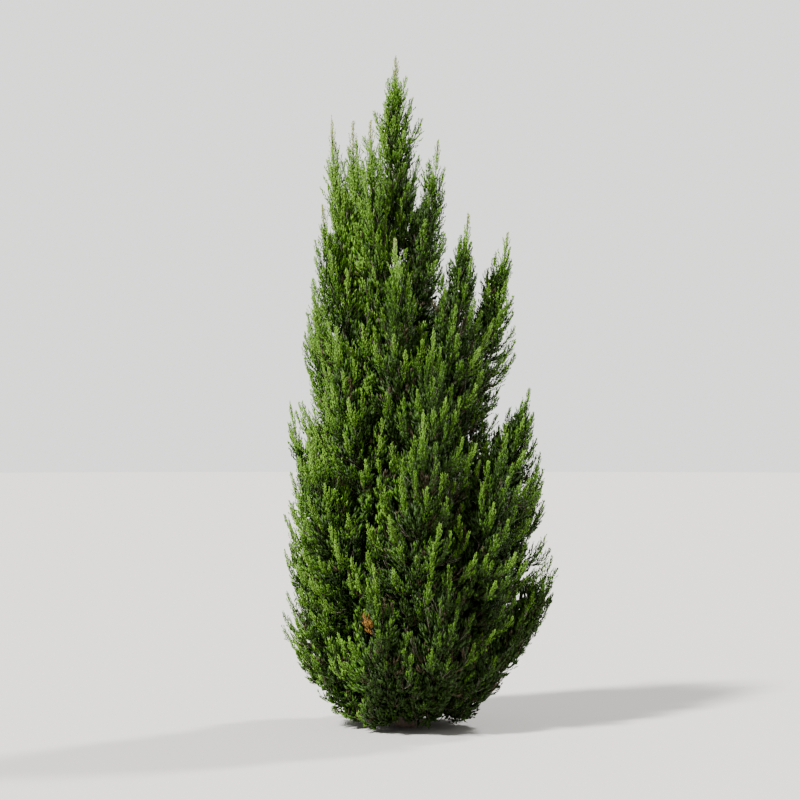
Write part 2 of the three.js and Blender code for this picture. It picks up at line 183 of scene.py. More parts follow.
# From this share of a plume's stem on, its shoots get slimmer and keep nearer to it, and by how much at the
# tip
TIP_START = 0.52
TIP_SLIMMING = 0.4
TIP_NARROWING = 0.48

# The shoot that ends a plume: the shares of the stem where it starts and ends, its size, and how much its
# tone grows towards its tip in the tiers where that shows
LEADING_SHOOT = (0.68, 0.97)
LEADING_SIZE = 0.8
LEADING_TONE = 1.0
PALE_TIERS = ("upper", "top")

# Neighbouring plumes share the space between them. The lower this is, the further their shoots mingle.
SHARED_SPACE = 0.64

# The crown draws in near the ground, more on its right. How far from the trunk it reaches there, how that
# grows with height, and the lobes of its edge
FOOT_REACH = 0.262
FOOT_SIDE = 0.03
FOOT_SWELL = 0.72
FOOT_ROUNDNESS = 0.8
FOOT_LOBES = 9
FOOT_LOBE_DEPTH = 0.035

# Branchlets spiral round a shoot and bow out and up from it, longer and larger low down than at its tip. The
# shoot is widest at the fullest share of its height, and tapers from there to a point at the highest.
BRANCHLETS = 32
BRANCHLET_CROWDING = 1.15
BRANCHLET_RISE = (0.2, 0.36)
BRANCHLET_SHORTENING = 0.62
BRANCHLET_SHRINKING = 0.45
BRANCHLET_BEYOND = 0.5
BRANCHLET_FULLEST = 0.42
BRANCHLET_SWELL = 0.5
BRANCHLET_HIGHEST = 1.09
BRANCHLET_TAPER = 0.9
BRANCHLET_LEAST = 0.05
BRANCHLET_BOW = 0.16
BRANCHLET_LIFT = 0.6
BRANCHLET_STRAY = (0.45, 1.4)

# How much daylight a branchlet gets, from 0 to 1. It comes from so many turns at each of these heights, and
# the branchlets in each cell that it crosses take some. A branchlet is lit if it gets more than a share that
# is drawn from LIT.
LIGHT_CELL = 0.05
LIGHT_SPARE_CELLS = 2
LIGHT_STEPS = 10
LIGHT_TURNS = 10
LIGHT_HEIGHTS = (15, 45, 75)
LIGHT_LOSS = 0.2
LIT = (0.12, 0.27)

# This share of the unlit branchlets keeps its leaves. They are of an older tone darkened by painted shade,
# and larger the darker it is.
SHADED_SHARE = 0.36
SHADED_SIZES = (1.1, 2.8)
OLD_AND_PAINTED_SHADE_TONE = -0.16

# This share of the unlit branchlets has dried brown, with narrower leaves
DRIED_SHARE = 0.03
DRY_LEAF_WIDTH = 0.75

# Tones run from old, shaded leaves to fresh ones, and TONE_EDGES part them into tints. A tone grows towards
# the tip of a shoot and of a branchlet, where growth is fresher. It grows with the daylight that a branchlet
# gets, which is painted light and shade, and towards the skin of the crown, which is fresher growth there
# and painted shade deeper in.
DAYLIGHT_PAINTED_TONE = 0.8
DAYLIGHT_PAINTED_MIDDLE = 0.23
TIP_TONE = 0.58
TIP_TONE_MIDDLE = 0.28
OUTER_FRESH_AND_SHADE_TONE = 0.4
TONE_STRAY = 0.16
LEAF_TONE = 0.28
LEAF_TONE_STRAY = 0.22
TONE_EDGES = (-0.25, -0.04, 0.18, 0.39, 1.35)

# Painted sunlight: foliage is painted lighter on the side of the tree that faces this turn, and a little
# towards its top
PAINTED_SUN_TURN = 135
PAINTED_SUN_TONE = 0.27
PAINTED_HEIGHT_TONE = 0.04

# Leaves spiral round a branchlet, lean away from it less and less, and are longest at its middle. There is
# one for each gap along it, up to this many, and fewer where they are larger. A leaf is widest and highest at
# its middle share. The branchlet's axis is one more leaf, narrower than the others.
LEAVES = 9
LEAF_GAP = 0.0088
LEAF_CROWDING = 0.5
LEAF_START = 0.1
LEAF_LEAN = (34, 9)
LEAF_LIFT = 0.42
LEAF_SHORTEST = 0.62
LEAF_STRAY = 0.18
LEAF_FACING_STRAY = 0.5
LEAF_SIZES = (0.8, 1.2)
LEAF_MIDDLE = 0.4
AXIS_WIDTH = 0.4

# The dead spray low on the front: the middle of it, half its width and height, and how deep it goes
DEAD_SPRAY_AT = (-0.213, 0.505)
DEAD_SPRAY_SIZE = (0.05, 0.068)
DEAD_SPRAY_DEPTH = 0.12

# Twigs. This share of the unlit branchlets has lost its leaves and stays on as bare twigs.
STEM_SIDES = 7
STEM_RINGS = 12
TWIG_SIDES = 3
SHOOT_TWIG_RADII = (0.0032, 0.0011)
SHOOT_TWIG_END = 0.97
SHOOT_TWIG_STEPS = 3
BARE_TWIG_RADII = (0.0013, 0.0005)
BARE_TWIG_BEND = 0.7
BARE_TWIG_STEPS = 2
BARE_SHARE = 0.07

# Bark, in strips that run along a limb and twist round it, in degrees per metre. A strip is high in its
# middle and low at its edges, and its fibres add to that. A bough swells into a collar at the trunk, and
# starts where it has left this share of the trunk's radius. Limbs are bent from a blank of this height.
BLANK_HEIGHT = 1
TRUNK_SIDES = 84
TRUNK_RINGS = 100
BOUGH_SIDES = 18
BOUGH_RINGS = 44
STRIP_WIDTH = 0.016
STRIP_LENGTH = 0.19
STRIP_TWIST = 40
FIBRE_SHARE = 0.3
FIBRES_PER_STRIP = 4
STRIP_STEEPNESS = 3.2
STRIP_FLATNESS = 0.6
FIBRE_STEEPNESS = 2
BARK_LEVEL = 0.5
COLLAR_SIZE = 0.5
COLLAR_LENGTH = 0.04
BOUGH_SUNK = 0.7
BOUGH_SAMPLES = 60

# Patterns of the surfaces: the noise that patches and fibres are made of, where patches, scales, strips and
# fibres start and end in theirs, the painted shade between scales, and what colour is left between fibres
PATCH_NOISE = {"Detail": 3.0, "Roughness": 0.6}
PATCH_EDGES = (0.32, 0.68)
SCALES_PER_METRE = 420.0
SCALE_EDGES = (0.1, 0.75)
SCALE_RIM = 0.5
SCALE_GAP_PAINTED_SHADE = 0.6
STRIP_EDGES = (0.3, 0.7)
FIBRE_NOISE = {"Detail": 4.0, "Roughness": 0.65}
FIBRE_EDGES = (0.3, 0.46)
FIBRE_LEAST = 0.35
BARK_FIBRES = {"Fibres per Metre": 500.0, "Stretch": 0.06}
TWIG_FIBRES = {"Fibres per Metre": 900.0, "Stretch": 0.12}

# Finishes. Their patches, so many to a metre, shade the base colour darker and lighter. The roughness goes
# from low places of the relief to high ones, and the bump is the relief's depth and strength.
FINISHES = {
    "foliage": dict(specular=0.22, patches=26.0, shades=(0.74, 1.22), roughness=(0.65, 0.42),
                    bump=(0.0006, 0.5)),
    "twig": dict(specular=0.25, patches=40.0, shades=(0.55, 1.4), roughness=(0.95, 0.7), bump=(0.0005, 0.6)),
    "bark": dict(specular=0.2, patches=30.0, shades=(0.66, 1.35), roughness=(1.0, 0.75), bump=(0.0012, 0.8)),
}

# Which sockets of a node that mixes colours are the two colours and the result, as their names repeat
MIX_DARK = 6
MIX_LIGHT = 7
MIX_RESULT = 2

# The floor, the colour of the surroundings, and how far the picture is shifted from straight ahead
FLOOR_SIDES = 96
FLOOR_RADIUS = 60
FLOOR_ROUGHNESS = 0.85
SURROUNDINGS_COLOUR = (1.0, 0.99, 0.97, 1)
CAMERA_SHIFT = (-0.01, 0.0375)

# The tints of foliage from old to fresh, which carry painted shade in the darker ones and painted light in
# the lighter ones, and the names of the tiers
TINTS = ("deep", "shade", "leaf", "bright", "fresh", "pale")
TIER_NAMES = [tier["tier"] for tier in TIERS]


class JuniperGrowth(bpy.types.PropertyGroup):
    """Sizes of the shoots, branchlets and leaves, and the relief of the bark."""

    shoots_per_area: bpy.props.FloatProperty(
        name="Shoots per Square Metre", description="How many shoots there are to a square metre of plume",
        default=58.0, min=10.0, max=400.0)
    shoot_radius: bpy.props.FloatProperty(
        name="Shoot Radius", description="How far branchlets reach from the middle of a shoot",
        default=0.085, min=0.01, max=0.2, unit="LENGTH")
    leaf_length: bpy.props.FloatProperty(
        name="Leaf Length", description="Length of a scale-leaf twiglet, larger than life",
        default=0.0245, min=0.01, max=0.08, unit="LENGTH")
    leaf_width: bpy.props.FloatProperty(
        name="Leaf Width", description="Width of a scale-leaf twiglet, larger than life",
        default=0.0076, min=0.002, max=0.03, unit="LENGTH")
    leaf_thickness: bpy.props.FloatProperty(
        name="Leaf Thickness", description="Thickness of a scale-leaf twiglet",
        default=0.0035, min=0.0005, max=0.02, unit="LENGTH")
    inner_share: bpy.props.FloatProperty(
        name="Inner Shoots", description="Share of the shoots that stay inside a plume",
        default=0.24, min=0.0, max=0.8, subtype="FACTOR")
    trunk_relief: bpy.props.FloatProperty(
        name="Trunk Relief", description="How far the trunk's bark goes from low to high",
        default=0.0028, min=0.0, max=0.01, unit="LENGTH")
    bough_relief: bpy.props.FloatProperty(
        name="Bough Relief", description="How far a bough's bark goes from low to high",
        default=0.0011, min=0.0, max=0.005, unit="LENGTH")


def colour_property(label, text, default):
    """A colour that the user may change."""
    return bpy.props.FloatVectorProperty(
        name=label, description=text, default=default, size=3, min=0.0, max=1.0, subtype="COLOR")


class JuniperColours(bpy.types.PropertyGroup):
    """Base colours of foliage, wood and floor."""

    # The darker tints also stand for painted shade, and the lighter ones for painted light
    deep: colour_property("Deep", "Old inner foliage", (0.023, 0.058, 0.003))
    shade: colour_property("Shade", "Inner foliage", (0.042, 0.108, 0.003))
    leaf: colour_property("Leaf", "Most of the foliage", (0.07, 0.185, 0.005))
    bright: colour_property("Bright", "Foliage near the tips of shoots", (0.128, 0.275, 0.015))
    fresh: colour_property("Fresh", "Young growth at the tips", (0.21, 0.405, 0.045))
    pale: colour_property("Pale", "The tips of the high plumes", (0.4, 0.46, 0.16))
    dry: colour_property("Dry", "A dead spray", (0.34, 0.168, 0.026))
    dried: colour_property("Dried", "Leaves that have dried in the shade", (0.065, 0.05, 0.022))
    bark: colour_property("Bark", "Weathered strips of bark", (0.2, 0.145, 0.11))
    bark_deep: colour_property("Deep Bark", "Bark between the strips", (0.05, 0.026, 0.016))
    twig: colour_property("Twig", "Twigs", (0.05, 0.042, 0.022))
    bare_twig: colour_property("Bare Twig", "Dead twigs that have weathered", (0.24, 0.21, 0.17))
    floor: colour_property("Floor", "The floor", (0.62, 0.6, 0.57))


class JuniperStudio(bpy.types.PropertyGroup):
    """The light and the camera."""

    key_strength: bpy.props.FloatProperty(
        name="Key Light", description="Strength of the soft light from the upper left",
        default=8.4, min=0.0, max=50.0)
    key_spread: bpy.props.FloatProperty(
        name="Key Softness", description="How wide the key light looks from the tree",
        default=math.radians(6), min=0.0, max=math.pi, subtype="ANGLE")
    key_turn: bpy.props.FloatProperty(
        name="Key Turn", description="How far the key light stands to the left of the camera",
        default=math.radians(50), min=-math.pi, max=math.pi, subtype="ANGLE")
    key_height: bpy.props.FloatProperty(
        name="Key Height", description="How high the key light stands",
        default=math.radians(50), min=0.0, max=math.pi / 2, subtype="ANGLE")
    back_strength: bpy.props.FloatProperty(
        name="Back Light", description="Strength of the soft light from behind, on the other side",
        default=3.8, min=0.0, max=50.0)
    fill_strength: bpy.props.FloatProperty(
        name="Fill Light", description="Strength of the even pale surroundings",
        default=0.43, min=0.0, max=5.0)
    backdrop_strength: bpy.props.FloatProperty(
        name="Backdrop", description="How bright the surroundings look behind the tree",
        default=1.72, min=0.0, max=5.0)
    camera_distance: bpy.props.FloatProperty(
        name="Camera Distance", description="From the trunk to the camera", default=9.9, min=3.0, max=50.0,
        unit="LENGTH")
    camera_height: bpy.props.FloatProperty(
        name="Camera Height", description="Height of the camera", default=1.404, min=0.1, max=10.0,
        unit="LENGTH")
    camera_lens: bpy.props.FloatProperty(
        name="Lens", description="Focal length", default=93.6, min=10.0, max=300.0, unit="CAMERA")


def seeded_numbers(seed):
    """Numbers from 0 to 1 that are the same for the same seed."""
    state = (seed * SEED_FACTOR + SEED_STEP) % NUMBER_RANGE
    while True:
        state = (state * NUMBER_FACTOR + NUMBER_STEP) % NUMBER_RANGE
        yield state / NUMBER_RANGE


def between(span, share):
    """The number at a share of the way through a span."""
    return span[0] + (span[1] - span[0]) * share


def direction_of(turn):
    """Level unit vectors at those turns."""
    angle = np.radians(turn)
    return np.stack([np.cos(angle), np.sin(angle), np.zeros_like(angle)], axis=-1)


def unit(vectors):
    """Vectors made one long."""
    return vectors / np.maximum(np.linalg.norm(vectors, axis=-1, keepdims=True), SHORTEST)


def on_curve(controls, share):
    """Points of cubic curves at shares of them."""
    share = np.asarray(share, float)[..., None]
    rest = 1 - share
    return (rest ** 3 * controls[..., 0, :] + 3 * rest ** 2 * share * controls[..., 1, :]
            + 3 * rest * share ** 2 * controls[..., 2, :] + share ** 3 * controls[..., 3, :])


def along_curve(controls, share):
    """Unit tangents of cubic curves at shares of them."""
    share = np.asarray(share, float)[..., None]
    rest = 1 - share
    steps = np.diff(controls, axis=-2)
    first, second, third = (steps[..., order, :] for order in range(3))
    return unit(rest ** 2 * first + 2 * rest * share * second + share ** 2 * third)


def trunk_point(share):
    """The trunk's middle at a share of its height."""
    share = np.asarray(share, float)[..., None]
    bow = np.array([TRUNK_BOW, TRUNK_BOW / 2, TRUNK_HEIGHT / 2])
    top = np.array([LEAN, 0, TRUNK_HEIGHT])
    return 2 * (1 - share) * share * bow + share ** 2 * top


def trunk_radius(share, turn=0.0):
    """The trunk's radius at a share of its height. The root flare adds most at the ground and on its ribs."""
    flare = FLARE_RADIUS * between((1, np.cos(np.radians(turn * FLARE_RIBS))), FLARE_RIB_SHARE)
    taper = between((TRUNK_FOOT_RADIUS, TRUNK_TOP_RADIUS), share ** TRUNK_TAPER)
    return taper + flare * np.exp(-share * TRUNK_HEIGHT / FLARE_HEIGHT)


def plume_profile(along):
    """How wide a plume is along its stem, as a share of its girth: full low down and pointed at its tip."""
    wave = np.clip(between((PLUME_START, 1), np.asarray(along, float)), 0, 1) ** PLUME_FULLEST
    return np.maximum(0, np.sin(np.pi * wave)) ** PLUME_BLUNTNESS


def plume_of(tier, number, index):
    """Everything that shapes one plume: its line from the trunk's middle to its tip, and where it splits."""
    random = seeded_numbers(index + 1)
    name = f"{tier['tier']}_{number}"
    even = dict(
        turn=tier["turn"] + (number - 1) * 360 / tier["count"] + between(TURN_STRAY, next(random)),
        reach=tier["reach"] * between(REACH_STRAY, next(random)),
        tip=tier["tip"] * between(TIP_STRAY, next(random)),
    )
    shape = {**tier, **even, **SPIRES.get(name, {})}
    foot = tier["foot"] + tier["stagger"] * (number % 3)
    root = trunk_point(foot / TRUNK_HEIGHT)
    outwards = direction_of(shape["turn"])
    line = [root]
    for swing, climb in zip(tier["swing"], tier["climb"]):
        bend = root + outwards * shape["reach"] * swing
        bend[2] = between((foot, shape["tip"]), climb)
        line.append(bend)
    line.append(outwards * shape["reach"] + np.array([0, 0, shape["tip"]]))
    return SimpleNamespace(
        name=name, index=index, line=np.array(line), outwards=outwards, tier=tier["tier"],
        girth=shape["girth"], fan=shape["fan"], split=shape["split"], slender=shape.get("slender", 1),
        fullness=shape.get("fullness", 1))


def leader_plume(index):
    """The leader grows straight on from the trunk's tip to the top of the tree."""
    start, top = np.array([LEAN, 0, TRUNK_HEIGHT]), np.array([LEAN, 0, TREE_HEIGHT])
    line = np.array([between((start, top), share) for share in (0, 1 / 3, 2 / 3, 1)])
    return SimpleNamespace(
        name="leader", index=index, line=line, outwards=direction_of(FRONT), split=0.0, **LEADER)


def all_plumes():
    """The plumes of every tier, then the leader, each with its stem as a chain of points."""
    plumes = []
    for tier in TIERS:
        for number in range(1, tier["count"] + 1):
            plumes.append(plume_of(tier, number, len(plumes)))
    plumes.append(leader_plume(len(plumes)))
    for plume in plumes:
        plume.stem = on_curve(plume.line, stem_share(plume, np.linspace(0, 1, STEM_SAMPLES + 1)))
        plume.stem_length = np.linalg.norm(np.diff(plume.stem, axis=0), axis=1).sum()
    return plumes


def stem_share(plume, along):
    """The share of a plume's whole line at a share of its stem."""
    return plume.split + (1 - plume.split) * along


def plume_point(plume, along, turn, out):
    """Points of a plume, by their shares of its stem, turns round it and shares of its girth there."""
    share = np.clip(stem_share(plume, along), 0, 1)
    tangent = along_curve(plume.line, share)
    outward = unit(plume.outwards - (tangent @ plume.outwards)[..., None] * tangent)
    sideways = np.cross(outward, tangent)
    angle = np.radians(turn)[..., None]
    reach = (plume.girth * plume_profile(along) * out)[..., None]
    return on_curve(plume.line, share) + (np.cos(angle) * outward + np.sin(angle) * sideways) * reach


def nearest_on(chain, points):
    """How far points lie from a chain of points, and at which share of it."""
    steps = np.diff(chain, axis=0)
    offsets = points[:, None] - chain[:-1]
    shares = np.clip((offsets * steps).sum(-1) / (steps ** 2).sum(-1), 0, 1)
    distances = np.linalg.norm(offsets - shares[..., None] * steps, axis=-1)
    best = distances.argmin(axis=1)
    rows = np.arange(len(points))
    return distances[rows, best], (best + shares[rows, best]) / len(steps)


def share_of(plume, points):
    """How far out in a plume points lie, as shares of the plume's girth there."""
    distance, along = nearest_on(plume.stem, points)
    return distance / (plume.girth * plume_profile(along) + SHARE_SOFTNESS)


def in_space(plume, points):
    """Whether points are in a plume's own space, above the ground and clear of trunk and boughs."""
    own = share_of(plume, points) * SHARED_SPACE
    fits = points[:, 2] > GROUND_GAP
    turn = np.arctan2(points[:, 1], points[:, 0])
    swell = FOOT_SWELL * np.maximum(points[:, 2], 0) ** FOOT_ROUNDNESS
    foot = FOOT_REACH - FOOT_SIDE * np.cos(turn) + FOOT_LOBE_DEPTH * np.cos(FOOT_LOBES * turn) + swell
    fits &= np.hypot(points[:, 0], points[:, 1]) < foot
    for other in PLUMES:
        if other is not plume:
            fits &= share_of(other, points) > own
    for chain, radii in LIMBS:
        distance, along = nearest_on(chain, points)
        fits &= distance > between(radii, along) + LIMB_MARGIN
    return fits


def all_limbs():
    """The trunk and the boughs as chains of points, each with its radius at both ends."""
    shares = np.linspace(0, 1, LIMB_SAMPLES + 1)
    limbs = [(trunk_point(shares), (TRUNK_FOOT_RADIUS, TRUNK_TOP_RADIUS))]
    for plume in PLUMES:
        if plume.split:
            limbs.append((on_curve(plume.line, plume.split * shares), (BOUGH_ROOT_RADIUS, BOUGH_TIP_RADIUS)))
    return limbs


PLUMES = all_plumes()
LIMBS = all_limbs()


def shoots_of(plume, growth):
    """The lines of a plume's shoots, how far out they end and how slim they are."""
    random = seeded_numbers(SHOOT_SEED + plume.index)
    fan = min(360, plume.fan + FAN_SPREAD)
    skin = 2 * math.pi * plume.girth * plume.stem_length * fan / 360
    count = round(skin * growth.shoots_per_area * plume.fullness)
    alongs = np.linspace(*SHOOT_ENDS, SHOOT_SAMPLES)
    covered = np.cumsum(plume_profile(alongs) + SHOOT_END_EXTRA)
    covered = (covered - covered[0]) / (covered[-1] - covered[0])
    draws = []
    for order in range(count):
        end = np.interp((order + next(random)) / count, covered, alongs)
        turn = ((order + 1) * GOLDEN_SHARE % 1 - 0.5) * fan + between(SHOOT_TURN_STRAY, next(random))
        veer = between(SHOOT_VEER, next(random))
        rise = between(SHOOT_RISE, next(random))
        reach = SHOOT_INNER if next(random) < growth.inner_share else SHOOT_OUTER
        draws.append((end, turn, veer, rise, between(reach, next(random))))
    ends, turns, veers, rises, outs = np.array(draws).T
    outs = outs * (1 + SHOOT_SIDE_REACH * (1 - np.cos(np.radians(turns))) / 2)
    tipward = plume.slender * np.clip((ends - TIP_START) / (1 - TIP_START), 0, 1)
    slim = 1 - TIP_SLIMMING * tipward
    outs = outs * (1 - TIP_NARROWING * tipward)
    lines = np.zeros((count, 4, 3))
    reached = np.zeros(count)
    waiting = np.ones(count, bool)
    for pull in SHOOT_PULLS:
        root = plume_point(plume, np.maximum(ends - rises, 0), turns, 0 * outs)
        tip = plume_point(plume, ends, turns + veers, outs * pull)
        line = upright_line(plume, ends, root, tip)
        fits = waiting & in_space(plume, line[:, 3]) & in_space(plume, line[:, 2])
        lines[fits] = line[fits]
        reached[fits] = (outs * pull)[fits]
        waiting &= ~fits
    leading = plume_point(plume, np.linspace(*LEADING_SHOOT, 4), np.zeros(4), np.zeros(4))
    lines = np.concatenate([lines[~waiting], leading[None]])
    return lines, np.append(reached[~waiting], 1), np.append(slim[~waiting], LEADING_SIZE)


def upright_line(plume, ends, root, tip):
    """Lines from root to tip that lean outwards first, and turn upright towards the tip."""
    heading = along_curve(plume.line, np.clip(stem_share(plume, ends), 0, 1))
    outward = unit((tip - trunk_point(np.clip(tip[:, 2] / TRUNK_HEIGHT, 0, 1))) * LEVEL)
    upright = unit(heading + np.array([0, 0, SHOOT_UPRIGHT]) + SHOOT_FLARE * outward)
    length = np.linalg.norm(tip - root, axis=-1, keepdims=True)
    turning = tip - upright * length * SHOOT_TURNING
    turning[:, 2] = np.maximum(turning[:, 2], SHOOT_LOWEST)
    leaning = root + (turning - root) * SHOOT_SWING
    return np.stack([root, leaning, turning, tip], axis=1)


def shoot_profile(height):
    """How wide a shoot is at shares of its height: fullest low down, and tapering to a point."""
    swell = np.clip(height / BRANCHLET_FULLEST, 0, 1) ** BRANCHLET_SWELL
    taper = np.clip(1 - height / BRANCHLET_HIGHEST, 0, 1) ** BRANCHLET_TAPER
    return np.maximum(BRANCHLET_LEAST, swell * taper)


def branchlets_of(lines, outs, slim, growth, random):
    """The lines of the branchlets of shoots, the directions that they leave in, their tones and sizes."""
    count = len(lines)
    order = np.arange(BRANCHLETS)
    share = (order + random.random((count, BRANCHLETS))) / BRANCHLETS
    place = SHOOT_LEAFY + (1 - SHOOT_LEAFY) * share ** BRANCHLET_CROWDING
    rise = random.uniform(*BRANCHLET_RISE, share.shape) * (1 - BRANCHLET_SHORTENING * share)
    high = place + rise
    controls = lines[:, None]
    ahead = along_curve(controls, np.minimum(high, 1))
    side = unit(np.cross(ahead, np.array([1.0, 0.0, 0.0])))
    other = np.cross(ahead, side)
    turn = np.radians(GOLDEN_TURN * order + 360 * random.random((count, 1)))[..., None]
    radial = np.cos(turn) * side + np.sin(turn) * other
    size = random.uniform(*SHOOT_SIZES, (count, 1)) * slim[:, None]
    length = np.linalg.norm(lines[:, 3] - lines[:, 1], axis=-1)[:, None]
    radius = growth.shoot_radius * size * shoot_profile(high)
    radius = radius * random.uniform(*BRANCHLET_STRAY, share.shape)
    roots = on_curve(controls, place)
    beyond = np.maximum(high - 1, 0) * length * BRANCHLET_BEYOND
    tips = on_curve(controls, np.minimum(high, 1)) + ahead * beyond[..., None] + radial * radius[..., None]
    tips[..., 2] += radius * BRANCHLET_LIFT
    bends = (roots + tips) / 2 + radial * (radius * BRANCHLET_BOW)[..., None]
    # A tone grows towards a shoot's tip, and towards the skin, with painted shade deeper in the plume
    tone = TIP_TONE * (share - TIP_TONE_MIDDLE) + OUTER_FRESH_AND_SHADE_TONE * (outs[:, None] - 1)
    tone = tone + random.uniform(-TONE_STRAY, TONE_STRAY, (count, 1))
    tone = tone + random.uniform(-TONE_STRAY, TONE_STRAY, share.shape)
    return roots, bends, tips, radial, tone, 1 - BRANCHLET_SHRINKING * share


def light_at(points):
    """The share of daylight that reaches each point through the branchlets at all the others."""
    corner = points.min(axis=0) - LIGHT_CELL
    size = np.ceil((points.max(axis=0) - corner) / LIGHT_CELL).astype(int) + LIGHT_SPARE_CELLS

    def cells(places):
        place = np.clip(((places - corner) / LIGHT_CELL).astype(int), 0, size - 1)
        return np.ravel_multi_index(place.T, size)

    filled = np.bincount(cells(points), minlength=size.prod())
    light = np.zeros(len(points))
    for height in LIGHT_HEIGHTS:
        for turn in range(LIGHT_TURNS):
            towards = direction_of(360 * turn / LIGHT_TURNS + height) * math.cos(math.radians(height))
            towards[2] = math.sin(math.radians(height))
            ray = (points + towards * LIGHT_CELL * step for step in range(1, LIGHT_STEPS + 1))
            crossed = sum(filled[cells(places)] for places in ray)
            light += np.exp(-LIGHT_LOSS * crossed)
    return light / (len(LIGHT_HEIGHTS) * LIGHT_TURNS)


def leaves_of(roots, bends, tips, radial, size, random, growth):
    """The leaves of branchlets: roots, tips, facings, widths and places. A branchlet's axis comes first."""
    order = np.arange(LEAVES)
    share = (LEAF_START + (1 - LEAF_START) * (order + 0.5) / LEAVES)[:, None]
    rest = 1 - share
    root, bend, tip = (part[..., None, :] for part in (roots, bends, tips))
    at = rest ** 2 * root + 2 * rest * share * bend + share ** 2 * tip
    along = unit(rest * (bend - root) + share * (tip - bend))
    side = unit(np.cross(along, radial[..., None, :]))
    up = np.cross(side, along)
    shape = along.shape[:-1]
    turn = np.radians(GOLDEN_TURN * order + 360 * random.random((*shape[:-1], 1)))[..., None]
    away = np.cos(turn) * up + np.sin(turn) * side
    lean = np.radians(between(LEAF_LEAN, share))
    aim = along * np.cos(lean) + away * np.sin(lean) + random.uniform(-LEAF_STRAY, LEAF_STRAY, along.shape)
    aim[..., 2] += LEAF_LIFT
    long = between((LEAF_SHORTEST, 1), np.sin(np.pi * share[:, 0])) * size[..., None]
    long = long * random.uniform(*LEAF_SIZES, shape)
    facing = unit(away + random.uniform(-LEAF_FACING_STRAY, LEAF_FACING_STRAY, along.shape))
    axis = [part[..., None, :] for part in (roots, tips, radial)]
    leaves = [at, at + unit(aim) * (growth.leaf_length * long)[..., None], facing]
    made = [np.concatenate(parts, axis=-2) for parts in zip(axis, leaves)]
    wide = random.uniform(*LEAF_SIZES, shape) * size[..., None]
    widths = np.concatenate([np.full((*shape[:-1], 1), AXIS_WIDTH), wide], axis=-1)
    return *made, widths, np.append(0, share[:, 0])


def slivers(roots, tips, facing, widths, growth):
    """Vertices and faces of leaves. Each is a closed sliver of four faces, with its ridge towards facing."""
    low, high = np.minimum(roots[:, 2], tips[:, 2]), np.maximum(roots[:, 2], tips[:, 2])
    fits = (low > GROUND_GAP) & (high < TREE_HEIGHT)
    roots, tips, facing, widths = (part[fits] for part in (roots, tips, facing, widths))
    heading = unit(tips - roots)
    across = unit(np.cross(heading, facing))
    outward = np.cross(across, heading)
    width = (widths * growth.leaf_width)[:, None]
    middle = roots + (tips - roots) * LEAF_MIDDLE + outward * (widths * growth.leaf_thickness)[:, None]
    corners = np.stack([roots, tips, middle - across * width / 2, middle + across * width / 2], axis=1)
    pattern = np.array([[0, 3, 2], [1, 2, 3], [0, 2, 1], [0, 1, 3]])
    faces = pattern[None] + 4 * np.arange(len(roots))[:, None, None]
    return corners.reshape(-1, 3), faces.reshape(-1, 3)


def tubes(lines, start, end, radii, sides, steps):
    """Vertices and faces of tapering limbs along cubic curves, closed at both ends."""
    shares = np.linspace(start, end, steps + 1)
    controls = lines[:, None]
    middles = on_curve(controls, np.broadcast_to(shares, (len(lines), steps + 1)))
    heading = along_curve(controls, np.broadcast_to(shares, (len(lines), steps + 1)))
    side = unit(np.cross(heading, np.array([1.0, 0.0, 0.0])))
    other = np.cross(heading, side)
    turn = np.linspace(0, 2 * np.pi, sides, endpoint=False)
    radii = np.linspace(*radii, steps + 1)[None, :, None, None]
    ring = np.cos(turn)[:, None] * side[:, :, None] + np.sin(turn)[:, None] * other[:, :, None]
    vertices = (middles[:, :, None] + ring * radii).reshape(len(lines), -1, 3)
    faces = []
    for step in range(steps):
        for corner in range(sides):
            low, beside = step * sides + corner, step * sides + (corner + 1) % sides
            faces += [[low, beside, beside + sides], [low, beside + sides, low + sides]]
    top = steps * sides
    for corner in range(1, sides - 1):
        faces += [[0, corner + 1, corner], [top, top + corner, top + corner + 1]]
    count = vertices.shape[1]
    faces = np.array(faces)[None] + count * np.arange(len(lines))[:, None, None]
    return vertices.reshape(-1, 3), faces.reshape(-1, 3)


def mesh_piece(name, parts, material, nodes=()):
    """A piece made of parts, each of them vertices and faces, which rides on the tree and replaces nodes."""
    vertices, faces, start = [], [], 0
    for points, triangles in parts:
        vertices.append(points)
        faces.append(triangles + start)
        start += len(points)
    vertices, faces = np.concatenate(vertices), np.concatenate(faces)
    mesh = bpy.data.meshes.new(name)
    mesh.vertices.add(len(vertices))
    mesh.vertices.foreach_set("co", vertices.astype(np.float32).ravel())
    mesh.loops.add(faces.size)
    mesh.loops.foreach_set("vertex_index", faces.astype(np.int32).ravel())
    mesh.polygons.add(len(faces))
    mesh.polygons.foreach_set("loop_start", np.arange(0, faces.size, 3, dtype=np.int32))
    mesh.update(calc_edges=True)
    mesh.materials.append(material)
    piece = bpy.data.objects.new(name, mesh)
    bpy.context.scene.collection.objects.link(piece)
    return dressed(piece, nodes)


def dressed(piece, nodes):
    """Seats a finished piece on the tree's body."""
    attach(piece, "root")
    if nodes:
        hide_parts(*nodes)
    return piece


def new_material(name, colour, roughness):
    """A material whose shader takes a plain base colour."""
    material = bpy.data.materials.new(name)
    material.use_nodes = True
    shader = material.node_tree.nodes["Principled BSDF"]
    shader.inputs["Base Color"].default_value = (*colour, 1)
    shader.inputs["Roughness"].default_value = roughness
    return material, shader


